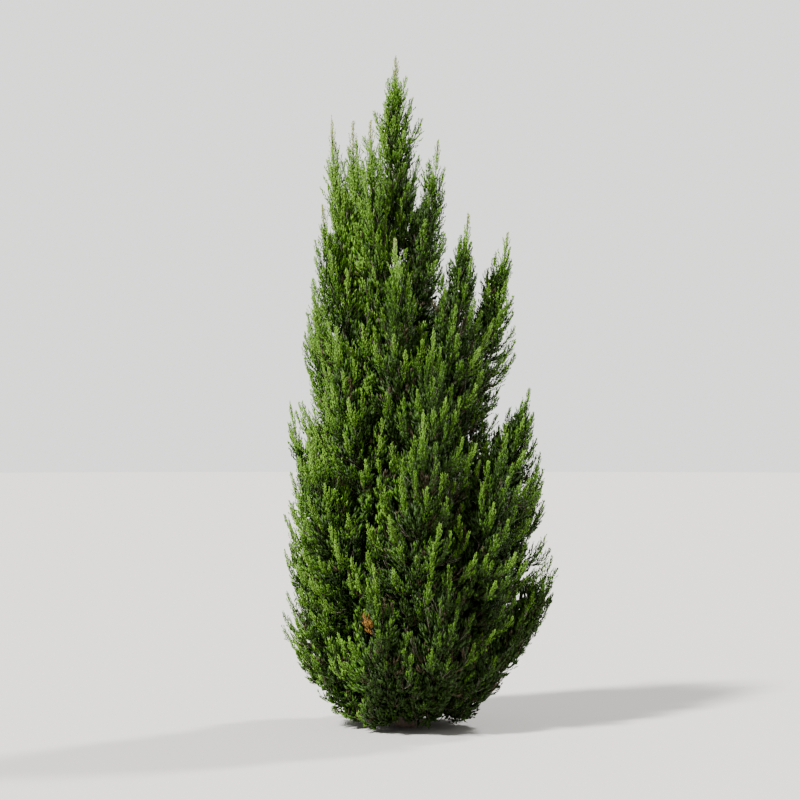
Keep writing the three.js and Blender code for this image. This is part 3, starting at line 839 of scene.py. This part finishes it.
def new_group(name, inputs, outputs):
    """An empty shader group with sockets of the named kinds, and its input and output nodes."""
    group = bpy.data.node_groups.new(name, "ShaderNodeTree")
    for label, kind, default in inputs:
        socket = group.interface.new_socket(label, in_out="INPUT", socket_type=kind)
        if default is not None:
            socket.default_value = default
    for label, kind in outputs:
        group.interface.new_socket(label, in_out="OUTPUT", socket_type=kind)
    return group, group.nodes.new("NodeGroupInput"), group.nodes.new("NodeGroupOutput")


def node_in(tree, kind, links=None, **values):
    """A node with its settings, and with each named socket linked to its source or set to its value."""
    node = tree.nodes.new(kind)
    for name, value in values.items():
        setattr(node, name, value)
    for socket, source in (links or {}).items():
        if isinstance(source, bpy.types.NodeSocket):
            tree.links.new(source, node.inputs[socket])
        else:
            node.inputs[socket].default_value = source
    return node


def mixed_colour(tree, factor, dark, light):
    """The output of a node that mixes two colours."""
    sources = {"Factor": factor, MIX_DARK: dark, MIX_LIGHT: light}
    return node_in(tree, "ShaderNodeMix", sources, data_type="RGBA").outputs[MIX_RESULT]


def stretched(tree, value, edges=(0.0, 1.0), ends=(0.0, 1.0)):
    """The output of a node that stretches a value from between the edges to between the ends, kept there."""
    span = node_in(tree, "ShaderNodeMapRange", {
        "Value": value, "From Min": edges[0], "From Max": edges[1], "To Min": ends[0], "To Max": ends[1]})
    return span.outputs["Result"]


def mottling_group():
    """Uneven colour in soft patches: a noise that moves a colour between a darker and a lighter one."""
    group, given, result = new_group("mottling", (
        ("Vector", "NodeSocketVector", None),
        ("Scale", "NodeSocketFloat", None),
        ("Dark", "NodeSocketColor", None),
        ("Light", "NodeSocketColor", None),
    ), (("Colour", "NodeSocketColor"), ("Mask", "NodeSocketFloat")))
    patches = node_in(group, "ShaderNodeTexNoise", {
        "Vector": given.outputs["Vector"], "Scale": given.outputs["Scale"], **PATCH_NOISE})
    mask = stretched(group, patches.outputs["Fac"], PATCH_EDGES)
    group.links.new(mask, result.inputs["Mask"])
    colour = mixed_colour(group, mask, given.outputs["Dark"], given.outputs["Light"])
    group.links.new(colour, result.inputs["Colour"])
    return group


def scales_group():
    """The overlapping scales of a leaf spray, as a height and as a mask that is dark between them, where the
    scales get painted shade.
    """
    group, given, result = new_group("leaf_scales", (
        ("Vector", "NodeSocketVector", None),
        ("Scales per Metre", "NodeSocketFloat", SCALES_PER_METRE),
    ), (("Height", "NodeSocketFloat"), ("Mask", "NodeSocketFloat")))
    cells = node_in(group, "ShaderNodeTexVoronoi", {
        "Vector": given.outputs["Vector"], "Scale": given.outputs["Scales per Metre"]})
    height = stretched(group, cells.outputs["Distance"], SCALE_EDGES, ends=(1.0, 0.0))
    group.links.new(height, result.inputs["Height"])
    group.links.new(stretched(group, height, (0.0, SCALE_RIM)), result.inputs["Mask"])
    return group


def fibres_group():
    """Fibres that run along a limb: noise drawn out along the third axis of the vector."""
    group, given, result = new_group("bark_fibres", (
        ("Vector", "NodeSocketVector", None),
        ("Fibres per Metre", "NodeSocketFloat", None),
        ("Stretch", "NodeSocketFloat", None),
    ), (("Height", "NodeSocketFloat"),))
    stretch = node_in(group, "ShaderNodeCombineXYZ", {"X": 1.0, "Y": 1.0, "Z": given.outputs["Stretch"]})
    drawn = node_in(group, "ShaderNodeVectorMath", operation="MULTIPLY")
    for source, socket in zip((given.outputs["Vector"], stretch.outputs["Vector"]), drawn.inputs):
        group.links.new(source, socket)
    fibres = node_in(group, "ShaderNodeTexNoise", {
        "Vector": drawn.outputs["Vector"], "Scale": given.outputs["Fibres per Metre"], **FIBRE_NOISE})
    group.links.new(fibres.outputs["Fac"], result.inputs["Height"])
    return group


def placed_group(tree, name, build, links):
    """A group node in a material's tree. The group is built the first time that it is asked for."""
    return node_in(tree, "ShaderNodeGroup", links, node_tree=bpy.data.node_groups.get(name) or build())


def shaded(colour, factor):
    """A colour made darker or lighter, with its alpha."""
    return (*(min(1.0, part * factor) for part in colour), 1)


def finished_material(name, colour, finish):
    """A material with the gloss of a finish, its shader and its nodes."""
    material, shader = new_material(name, colour, max(finish["roughness"]))
    shader.inputs["Specular IOR Level"].default_value = finish["specular"]
    return material, shader, material.node_tree


def patched_colour(tree, place, colour, finish):
    """A colour with the patches of a finish."""
    dark, light = (shaded(colour, shade) for shade in finish["shades"])
    patches = placed_group(tree, "mottling", mottling_group, {
        "Vector": place, "Scale": finish["patches"], "Dark": dark, "Light": light})
    return patches.outputs["Colour"]


def add_relief(tree, shader, height, mask, finish):
    """Gives a shader the relief of a height, and the roughness that a mask puts on low and high places."""
    roughness = stretched(tree, mask, ends=finish["roughness"])
    tree.links.new(roughness, shader.inputs["Roughness"])
    distance, strength = finish["bump"]
    bump = node_in(tree, "ShaderNodeBump", {"Height": height, "Strength": strength, "Distance": distance})
    tree.links.new(bump.outputs["Normal"], shader.inputs["Normal"])


def foliage_material(name, colour):
    """Foliage of one tint, a little uneven from spray to spray, with the relief of its small scales and
    painted shade between them.
    """
    finish = FINISHES["foliage"]
    material, shader, tree = finished_material(name, colour, finish)
    place = tree.nodes.new("ShaderNodeTexCoord").outputs["Object"]
    patches = patched_colour(tree, place, colour, finish)
    scales = placed_group(tree, "leaf_scales", scales_group, {"Vector": place})
    # Painted shade darkens the gaps between the scales
    painted_scale_shade = mixed_colour(tree, scales.outputs["Mask"], shaded(colour, SCALE_GAP_PAINTED_SHADE), patches)
    tree.links.new(painted_scale_shade, shader.inputs["Base Color"])
    add_relief(tree, shader, scales.outputs["Height"], scales.outputs["Mask"], finish)
    return material


def twig_material(name, colour):
    """Thin bark of twigs, streaked and uneven."""
    finish = FINISHES["twig"]
    material, shader, tree = finished_material(name, colour, finish)
    place = tree.nodes.new("ShaderNodeTexCoord").outputs["Object"]
    tree.links.new(patched_colour(tree, place, colour, finish), shader.inputs["Base Color"])
    fibres = placed_group(tree, "bark_fibres", fibres_group, {"Vector": place, **TWIG_FIBRES})
    add_relief(tree, shader, fibres.outputs["Height"], fibres.outputs["Height"], finish)
    return material


def bark_material(colours):
    """Stringy bark: grey-brown strips over red-brown bark, told apart by the relief that the mesh carries."""
    if "bark" in bpy.data.materials:
        return bpy.data.materials["bark"]
    finish = FINISHES["bark"]
    material, shader, tree = finished_material("bark", colours.bark, finish)
    grain = node_in(tree, "ShaderNodeAttribute", attribute_name="grain").outputs["Vector"]
    relief = node_in(tree, "ShaderNodeAttribute", attribute_name="relief").outputs["Fac"]
    strips = patched_colour(tree, grain, colours.bark, finish)
    fibres = placed_group(tree, "bark_fibres", fibres_group, {"Vector": grain, **BARK_FIBRES})
    height = fibres.outputs["Height"]
    deep = (*colours.bark_deep, 1)
    weathered = mixed_colour(tree, stretched(tree, relief, STRIP_EDGES), deep, strips)
    streak = stretched(tree, height, FIBRE_EDGES, ends=(FIBRE_LEAST, 1.0))
    tree.links.new(mixed_colour(tree, streak, deep, weathered), shader.inputs["Base Color"])
    add_relief(tree, shader, height, height, finish)
    return material


def limb_blank(name, sides, rings):
    """An upright closed cylinder with a radius of 1, cut into even rings."""
    bpy.ops.object.select_all(action="DESELECT")
    bpy.ops.mesh.primitive_cylinder_add(
        vertices=sides, radius=1, depth=BLANK_HEIGHT, end_fill_type="TRIFAN",
        location=(0, 0, BLANK_HEIGHT / 2))
    blank = bpy.context.active_object
    blank.name = name
    bpy.ops.object.transform_apply(location=True)
    bpy.ops.object.mode_set(mode="EDIT")
    bpy.ops.mesh.select_mode(type="EDGE")
    bpy.ops.mesh.select_all(action="DESELECT")
    mesh = bmesh.from_edit_mesh(blank.data)
    for edge in mesh.edges:
        low, high = sorted(corner.co.z for corner in edge.verts)
        edge.select = high - low > BLANK_HEIGHT / 2
    bmesh.update_edit_mesh(blank.data)
    bpy.ops.mesh.subdivide(number_cuts=rings - 1)
    bpy.ops.object.mode_set(mode="OBJECT")
    return blank


def bark_heights(grain):
    """How far the bark stands out at points of a limb's skin, from 0 to 1: strips with fibres on them."""
    heights = np.empty(len(grain))
    drawn = grain / np.array([STRIP_WIDTH, STRIP_WIDTH, STRIP_LENGTH])
    for row, (x, y, z) in enumerate(drawn):
        edge = abs(noise.noise(Vector((x, y, z))))
        fibre = abs(noise.noise(Vector((x * FIBRES_PER_STRIP, y * FIBRES_PER_STRIP, z))))
        strip = min(1, edge * STRIP_STEEPNESS) ** STRIP_FLATNESS
        heights[row] = strip * (1 - FIBRE_SHARE) + fibre * FIBRE_STEEPNESS * FIBRE_SHARE
    return np.clip(heights, 0, 1)


def barked(piece, frame_at, radius_at, length, relief, seed):
    """Bends a blank round a limb's line, with bark standing out from it, and keeps its relief and grain."""
    points = np.array([corner.co for corner in piece.data.vertices])
    share, turn = points[:, 2], np.degrees(np.arctan2(points[:, 1], points[:, 0]))
    out = np.hypot(points[:, 0], points[:, 1])[:, None]
    middle, outward, sideways, share = frame_at(share)
    radius = radius_at(share, turn)
    twisted = np.radians(turn + STRIP_TWIST * share * length)
    grain = np.stack([np.cos(twisted) * radius, np.sin(twisted) * radius, share * length + seed], axis=1)
    height = bark_heights(grain)
    angle = np.radians(turn)[:, None]
    ray = np.cos(angle) * outward + np.sin(angle) * sideways
    placed = middle + ray * out * (radius + relief * (height - BARK_LEVEL))[:, None]
    piece.data.vertices.foreach_set("co", placed.astype(np.float32).ravel())
    kept = piece.data.attributes.new("relief", "FLOAT", "POINT")
    kept.data.foreach_set("value", height.astype(np.float32))
    kept = piece.data.attributes.new("grain", "FLOAT_VECTOR", "POINT")
    kept.data.foreach_set("vector", grain.astype(np.float32).ravel())
    piece.data.update()
    bpy.ops.object.select_all(action="DESELECT")
    piece.select_set(True)
    bpy.context.view_layer.objects.active = piece
    bpy.ops.object.shade_smooth()


class JUNIPER_OT_grow_trunk(bpy.types.Operator):
    """Grows the trunk, with its root flare, its bow and its stringy bark"""

    bl_idname = "juniper.grow_trunk"
    bl_label = "Grow Trunk"

    def execute(self, context):
        def frame_at(height):
            share = height ** TRUNK_STEP_GROWTH
            each = np.ones((len(share), 1))
            return trunk_point(share), each * [1, 0, 0], each * [0, 1, 0], share

        trunk = limb_blank("bark_trunk", TRUNK_SIDES, TRUNK_RINGS)
        barked(trunk, frame_at, trunk_radius, TRUNK_HEIGHT, context.scene.juniper_growth.trunk_relief, 0)
        trunk.data.materials.append(bark_material(context.scene.juniper_colours))
        dressed(trunk, ["trunk"])
        return {"FINISHED"}


class JUNIPER_OT_grow_boughs(bpy.types.Operator):
    """Grows every bough from a collar on the trunk to the place where its plume begins"""

    bl_idname = "juniper.grow_boughs"
    bl_label = "Grow Boughs"

    def execute(self, context):
        blank = limb_blank("bark_bough", BOUGH_SIDES, BOUGH_RINGS)
        blank.data.materials.append(bark_material(context.scene.juniper_colours))
        relief = context.scene.juniper_growth.bough_relief
        for plume in PLUMES:
            if plume.split:
                self.grow_bough(plume, blank, relief)
        bpy.data.objects.remove(blank)
        return {"FINISHED"}

    def grow_bough(self, plume, blank, relief):
        """One bough, made from a copy of the blank"""
        bough = blank.copy()
        bough.data = blank.data.copy()
        bough.name = f"bark_bough_{plume.name}"
        bpy.context.scene.collection.objects.link(bough)
        start = bough_start(plume)
        length = plume.split * np.linalg.norm(np.diff(plume.line, axis=0), axis=1).sum()

        def frame_at(height):
            share = between((start, 1), height)
            along = along_curve(plume.line, plume.split * share)
            outward = unit(plume.outwards - (along @ plume.outwards)[:, None] * along)
            return on_curve(plume.line, plume.split * share), outward, np.cross(along, outward), share

        def radius_at(share, turn):
            collar = COLLAR_SIZE * np.exp(-(share - start) * length / COLLAR_LENGTH)
            return between((BOUGH_ROOT_RADIUS, BOUGH_TIP_RADIUS), share) * (1 + collar)

        barked(bough, frame_at, radius_at, length, relief, plume.index)
        dressed(bough, [f"bough_{plume.name}"])


def bough_start(plume):
    """The share of a bough where it leaves the trunk, sunk a little into the bark."""
    shares = np.linspace(0, 1, BOUGH_SAMPLES)
    points = on_curve(plume.line, plume.split * shares)
    height = np.clip(points[:, 2] / TRUNK_HEIGHT, 0, 1)
    off_line = np.linalg.norm((points - trunk_point(height))[:, :2], axis=1)
    return float(shares[np.argmax(off_line > trunk_radius(height) * BOUGH_SUNK)])


@cache
def crown_of(shoots_per_area, shoot_radius, inner_share):
    """The whole crown: each plume's shoots and branchlets, and which keep, dry or lose their leaves."""
    growth = SimpleNamespace(
        shoots_per_area=shoots_per_area, shoot_radius=shoot_radius, inner_share=inner_share)
    grown = []
    for plume in PLUMES:
        random = np.random.default_rng(CROWN_SEED + plume.index)
        lines, outs, slim = shoots_of(plume, growth)
        grown.append((plume, random, lines, branchlets_of(lines, outs, slim, growth, random)))
    light = light_at(np.concatenate([branchlets[2].reshape(-1, 3) for *_, branchlets in grown]))
    crown = []
    for plume, random, lines, branchlets in grown:
        roots, bends, tips, radial, tone, size = (part.reshape(-1, *part.shape[2:]) for part in branchlets)
        if plume.tier in PALE_TIERS:
            tone[-BRANCHLETS:] += LEADING_TONE * np.linspace(0, 1, BRANCHLETS)
        own_light = light[:len(tips)]
        light = light[len(tips):]
        lit = own_light > between(LIT, random.random(len(tips)))
        inside = in_space(plume, tips)
        luck = random.random(len(tips))
        shaded_size = between(SHADED_SIZES, 1 - own_light / LIT[1])
        kept = inside & (lit | (luck < SHADED_SHARE))
        dried = kept & ~lit & (luck < DRIED_SHARE)
        bare = inside & ~kept & (luck > 1 - BARE_SHARE)
        # Painted light and shade: tone grows with daylight, sunny side and height, and drops where unlit
        tone = tone + DAYLIGHT_PAINTED_TONE * (own_light - DAYLIGHT_PAINTED_MIDDLE) + painted_sun_tone(tips) + OLD_AND_PAINTED_SHADE_TONE * ~lit
        size = np.where(lit, 1, shaded_size) * size
        crown.append(SimpleNamespace(
            plume=plume, random_state=random.bit_generator.state, shoots=lines, roots=roots, bends=bends,
            tips=tips, radial=radial, kept=kept, dried=dried, bare=bare, size=size, tone=tone))
    for part, spray in zip(crown, in_dead_spray(crown)):
        part.spray = spray
    return crown


def painted_sun_tone(points):
    """How much lighter foliage is painted at points, by the side of the tree and the height, as painted
    sunlight.
    """
    sunny = unit(points * LEVEL) @ direction_of(PAINTED_SUN_TURN)
    return PAINTED_SUN_TONE * sunny + PAINTED_HEIGHT_TONE * (points[:, 2] / TREE_HEIGHT - 0.5)


def crown_now(context):
    """The crown for the settings in the sidebar."""
    growth = context.scene.juniper_growth
    return crown_of(growth.shoots_per_area, growth.shoot_radius, growth.inner_share)


def parts_in(crown, tier):
    """The parts of the crown that belong to a tier."""
    return [part for part in crown if part.plume.tier == tier]


def in_dead_spray(crown):
    """For each plume, which branchlets belong to the dead spray: those that show there from the front."""
    near = []
    for part in crown:
        middle = (part.roots + part.tips) / 2
        across = (middle[:, 0] - DEAD_SPRAY_AT[0]) / DEAD_SPRAY_SIZE[0]
        up = (middle[:, 2] - DEAD_SPRAY_AT[1]) / DEAD_SPRAY_SIZE[1]
        near.append((np.hypot(across, up) < 1) & part.kept)
    front = min(part.tips[spray, 1].min() for part, spray in zip(crown, near) if spray.any())
    return [spray & (part.tips[:, 1] < front + DEAD_SPRAY_DEPTH) for part, spray in zip(crown, near)]


def leaves_on(part, chosen, growth):
    """The leaves of chosen branchlets of a plume, and the tone of each."""
    random = np.random.default_rng()
    random.bit_generator.state = part.random_state
    picked = (values[chosen] for values in (part.roots, part.bends, part.tips, part.radial, part.size))
    *leaves, places = leaves_of(*picked, random, growth)
    stray = random.uniform(-LEAF_TONE_STRAY, LEAF_TONE_STRAY, leaves[-1].shape)
    tones = part.tone[chosen, None] + LEAF_TONE * (places - 0.5) + stray
    length = np.linalg.norm(part.tips[chosen] - part.roots[chosen], axis=1)
    share = length / (LEAVES * LEAF_GAP * part.size[chosen] ** LEAF_CROWDING)
    grown = (random.random(tones.shape) < share[:, None]) | (places == 0)
    return [values[grown] for values in leaves], tones[grown]


class JUNIPER_OT_grow_twigs(bpy.types.Operator):
    """Grows the stems of plumes and shoots, and the bare twigs in their shade"""

    bl_idname = "juniper.grow_twigs"
    bl_label = "Grow Twigs"

    def execute(self, context):
        colours = context.scene.juniper_colours
        living = twig_material("twig_bark", colours.twig)
        weathered = twig_material("weathered_twig", colours.bare_twig)
        crown = crown_now(context)
        for tier in TIER_NAMES:
            twigs, bare = [], []
            for part in parts_in(crown, tier):
                plume = part.plume
                twigs.append(tubes(
                    part.shoots, 0, SHOOT_TWIG_END, SHOOT_TWIG_RADII, TWIG_SIDES, SHOOT_TWIG_STEPS))
                twigs.append(tubes(
                    plume.line[None], plume.split, stem_share(plume, STEM_END),
                    (STEM_ROOT_RADIUS, STEM_TIP_RADIUS), STEM_SIDES, STEM_RINGS))
                bare.append(tubes(bare_lines(part), 0, 1, BARE_TWIG_RADII, TWIG_SIDES, BARE_TWIG_STEPS))
            mesh_piece(f"twigs_{tier}", twigs, living)
            mesh_piece(f"bare_twigs_{tier}", bare, weathered)
        return {"FINISHED"}


def bare_lines(part):
    """Branchlets that have lost their leaves, as curves."""
    root, bend, tip = (values[part.bare] for values in (part.roots, part.bends, part.tips))
    low, high = between((root, bend), BARE_TWIG_BEND), between((tip, bend), BARE_TWIG_BEND)
    return np.stack([root, low, high, tip], axis=1)


class JUNIPER_OT_grow_foliage(bpy.types.Operator):
    """Grows the scale leaves of every living branchlet, joined by tier and tint"""

    bl_idname = "juniper.grow_foliage"
    bl_label = "Grow Foliage"

    def execute(self, context):
        growth, colours = context.scene.juniper_growth, context.scene.juniper_colours
        crown = crown_now(context)
        materials = {tint: foliage_material(f"foliage_{tint}", getattr(colours, tint)) for tint in TINTS}
        for tier in TIER_NAMES:
            parts = parts_in(crown, tier)
            tinted = {tint: [] for tint in TINTS}
            for part in parts:
                leaves, tones = leaves_on(part, part.kept & ~part.dried & ~part.spray, growth)
                tint_of = np.digitize(tones, TONE_EDGES)
                for order, tint in enumerate(TINTS):
                    tinted[tint].append(slivers(*(values[tint_of == order] for values in leaves), growth))
            nodes = [f"plume_{part.plume.name}" for part in parts]
            for tint in TINTS:
                if any(len(faces) for _, faces in tinted[tint]):
                    mesh_piece(f"foliage_{tier}_{tint}", tinted[tint], materials[tint], nodes)
        return {"FINISHED"}


class JUNIPER_OT_grow_dry_foliage(bpy.types.Operator):
    """Grows the dead, orange spray low on the front, and the leaves that have dried brown in the shade"""

    bl_idname = "juniper.grow_dry_foliage"
    bl_label = "Grow Dry Foliage"

    def execute(self, context):
        colours = context.scene.juniper_colours
        self.grow_leaves(context, "dead_spray", colours.dry, lambda part: part.spray)
        self.grow_leaves(context, "dried_leaves", colours.dried, lambda part: part.dried & ~part.spray)
        return {"FINISHED"}

    def grow_leaves(self, context, name, colour, chosen_in):
        """Narrow leaves on the chosen branchlets of each plume, as one piece"""
        growth, parts = context.scene.juniper_growth, []
        for part in crown_now(context):
            chosen = chosen_in(part)
            if chosen.any():
                leaves, _ = leaves_on(part, chosen, growth)
                leaves[-1] = leaves[-1] * DRY_LEAF_WIDTH
                parts.append(slivers(*leaves, growth))
        mesh_piece(name, parts, foliage_material(f"foliage_{name}", colour))


class JUNIPER_OT_set_stage(bpy.types.Operator):
    """Lays the pale floor and sets the studio light and the camera"""

    bl_idname = "juniper.set_stage"
    bl_label = "Set Stage"

    def execute(self, context):
        scene = context.scene
        colours, studio = scene.juniper_colours, scene.juniper_studio
        bpy.ops.object.select_all(action="DESELECT")
        bpy.ops.mesh.primitive_circle_add(
            vertices=FLOOR_SIDES, radius=FLOOR_RADIUS, fill_type="NGON", location=(0, 0, 0))
        floor = context.active_object
        floor.name = "floor"
        material, _ = new_material("pale_floor", colours.floor, FLOOR_ROUGHNESS)
        floor.data.materials.append(material)

        self.light_surroundings(scene, studio)
        self.add_light(scene, studio, "key", studio.key_strength, -studio.key_turn)
        self.add_light(scene, studio, "back", studio.back_strength, math.pi - studio.key_turn)

        camera = bpy.data.objects.new("camera", bpy.data.cameras.new("camera"))
        scene.collection.objects.link(camera)
        camera.location = (0, -studio.camera_distance, studio.camera_height)
        camera.rotation_euler = (math.pi / 2, 0, 0)
        camera.data.lens = studio.camera_lens
        camera.data.shift_x, camera.data.shift_y = CAMERA_SHIFT
        scene.camera = camera
        return {"FINISHED"}

    def add_light(self, scene, studio, name, strength, turn):
        """A far, soft light at the key light's height"""
        light = bpy.data.lights.new(name, "SUN")
        light.energy = strength
        light.angle = studio.key_spread
        lamp = bpy.data.objects.new(name, light)
        scene.collection.objects.link(lamp)
        lamp.rotation_euler = (math.pi / 2 - studio.key_height, 0, turn)

    def light_surroundings(self, scene, studio):
        """Even light from all round, with a brighter backdrop where the camera sees past the tree"""
        scene.world = scene.world or bpy.data.worlds.new("surroundings")
        scene.world.use_nodes = True
        tree = scene.world.node_tree
        tree.nodes.clear()
        fill = tree.nodes.new("ShaderNodeBackground")
        fill.inputs["Strength"].default_value = studio.fill_strength
        backdrop = tree.nodes.new("ShaderNodeBackground")
        backdrop.inputs["Strength"].default_value = studio.backdrop_strength
        for background in (fill, backdrop):
            background.inputs["Color"].default_value = SURROUNDINGS_COLOUR
        path = tree.nodes.new("ShaderNodeLightPath")
        mix = tree.nodes.new("ShaderNodeMixShader")
        output = tree.nodes.new("ShaderNodeOutputWorld")
        sources = (path.outputs["Is Camera Ray"], fill.outputs["Background"], backdrop.outputs["Background"])
        for source, socket in zip(sources, mix.inputs):
            tree.links.new(source, socket)
        tree.links.new(mix.outputs["Shader"], output.inputs["Surface"])


class JUNIPER_PT_panel(bpy.types.Panel):
    """Lists the steps that grow the tree."""

    bl_idname = "JUNIPER_PT_panel"
    bl_label = "Columnar Juniper"
    bl_space_type = "VIEW_3D"
    bl_region_type = "UI"
    bl_category = "Juniper"

    def draw(self, context):
        for operator in OPERATORS:
            self.layout.operator(operator.bl_idname)
        for setting, group in SETTINGS.items():
            box = self.layout.box()
            for name in group.__annotations__:
                box.prop(getattr(context.scene, setting), name)


OPERATORS = (
    JUNIPER_OT_grow_trunk, JUNIPER_OT_grow_boughs, JUNIPER_OT_grow_twigs, JUNIPER_OT_grow_foliage,
    JUNIPER_OT_grow_dry_foliage, JUNIPER_OT_set_stage,
)
SETTINGS = {
    "juniper_growth": JuniperGrowth,
    "juniper_colours": JuniperColours,
    "juniper_studio": JuniperStudio,
}


def register():
    """Makes the settings, the operators and the panel known."""
    for group in SETTINGS.values():
        bpy.utils.register_class(group)
    for name, group in SETTINGS.items():
        setattr(bpy.types.Scene, name, bpy.props.PointerProperty(type=group))
    for operator in OPERATORS:
        bpy.utils.register_class(operator)
    bpy.utils.register_class(JUNIPER_PT_panel)


def unregister():
    """Takes the panel, the operators and the settings away again."""
    bpy.utils.unregister_class(JUNIPER_PT_panel)
    for operator in reversed(OPERATORS):
        bpy.utils.unregister_class(operator)
    for name in SETTINGS:
        delattr(bpy.types.Scene, name)
    for group in reversed(SETTINGS.values()):
        bpy.utils.unregister_class(group)


def main():
    """Grows the whole tree and sets the stage."""
    register()
    bpy.ops.juniper.grow_trunk()
    bpy.ops.juniper.grow_boughs()
    bpy.ops.juniper.grow_twigs()
    bpy.ops.juniper.grow_foliage()
    bpy.ops.juniper.grow_dry_foliage()
    bpy.ops.juniper.set_stage()


if __name__ == "__main__":
    main()
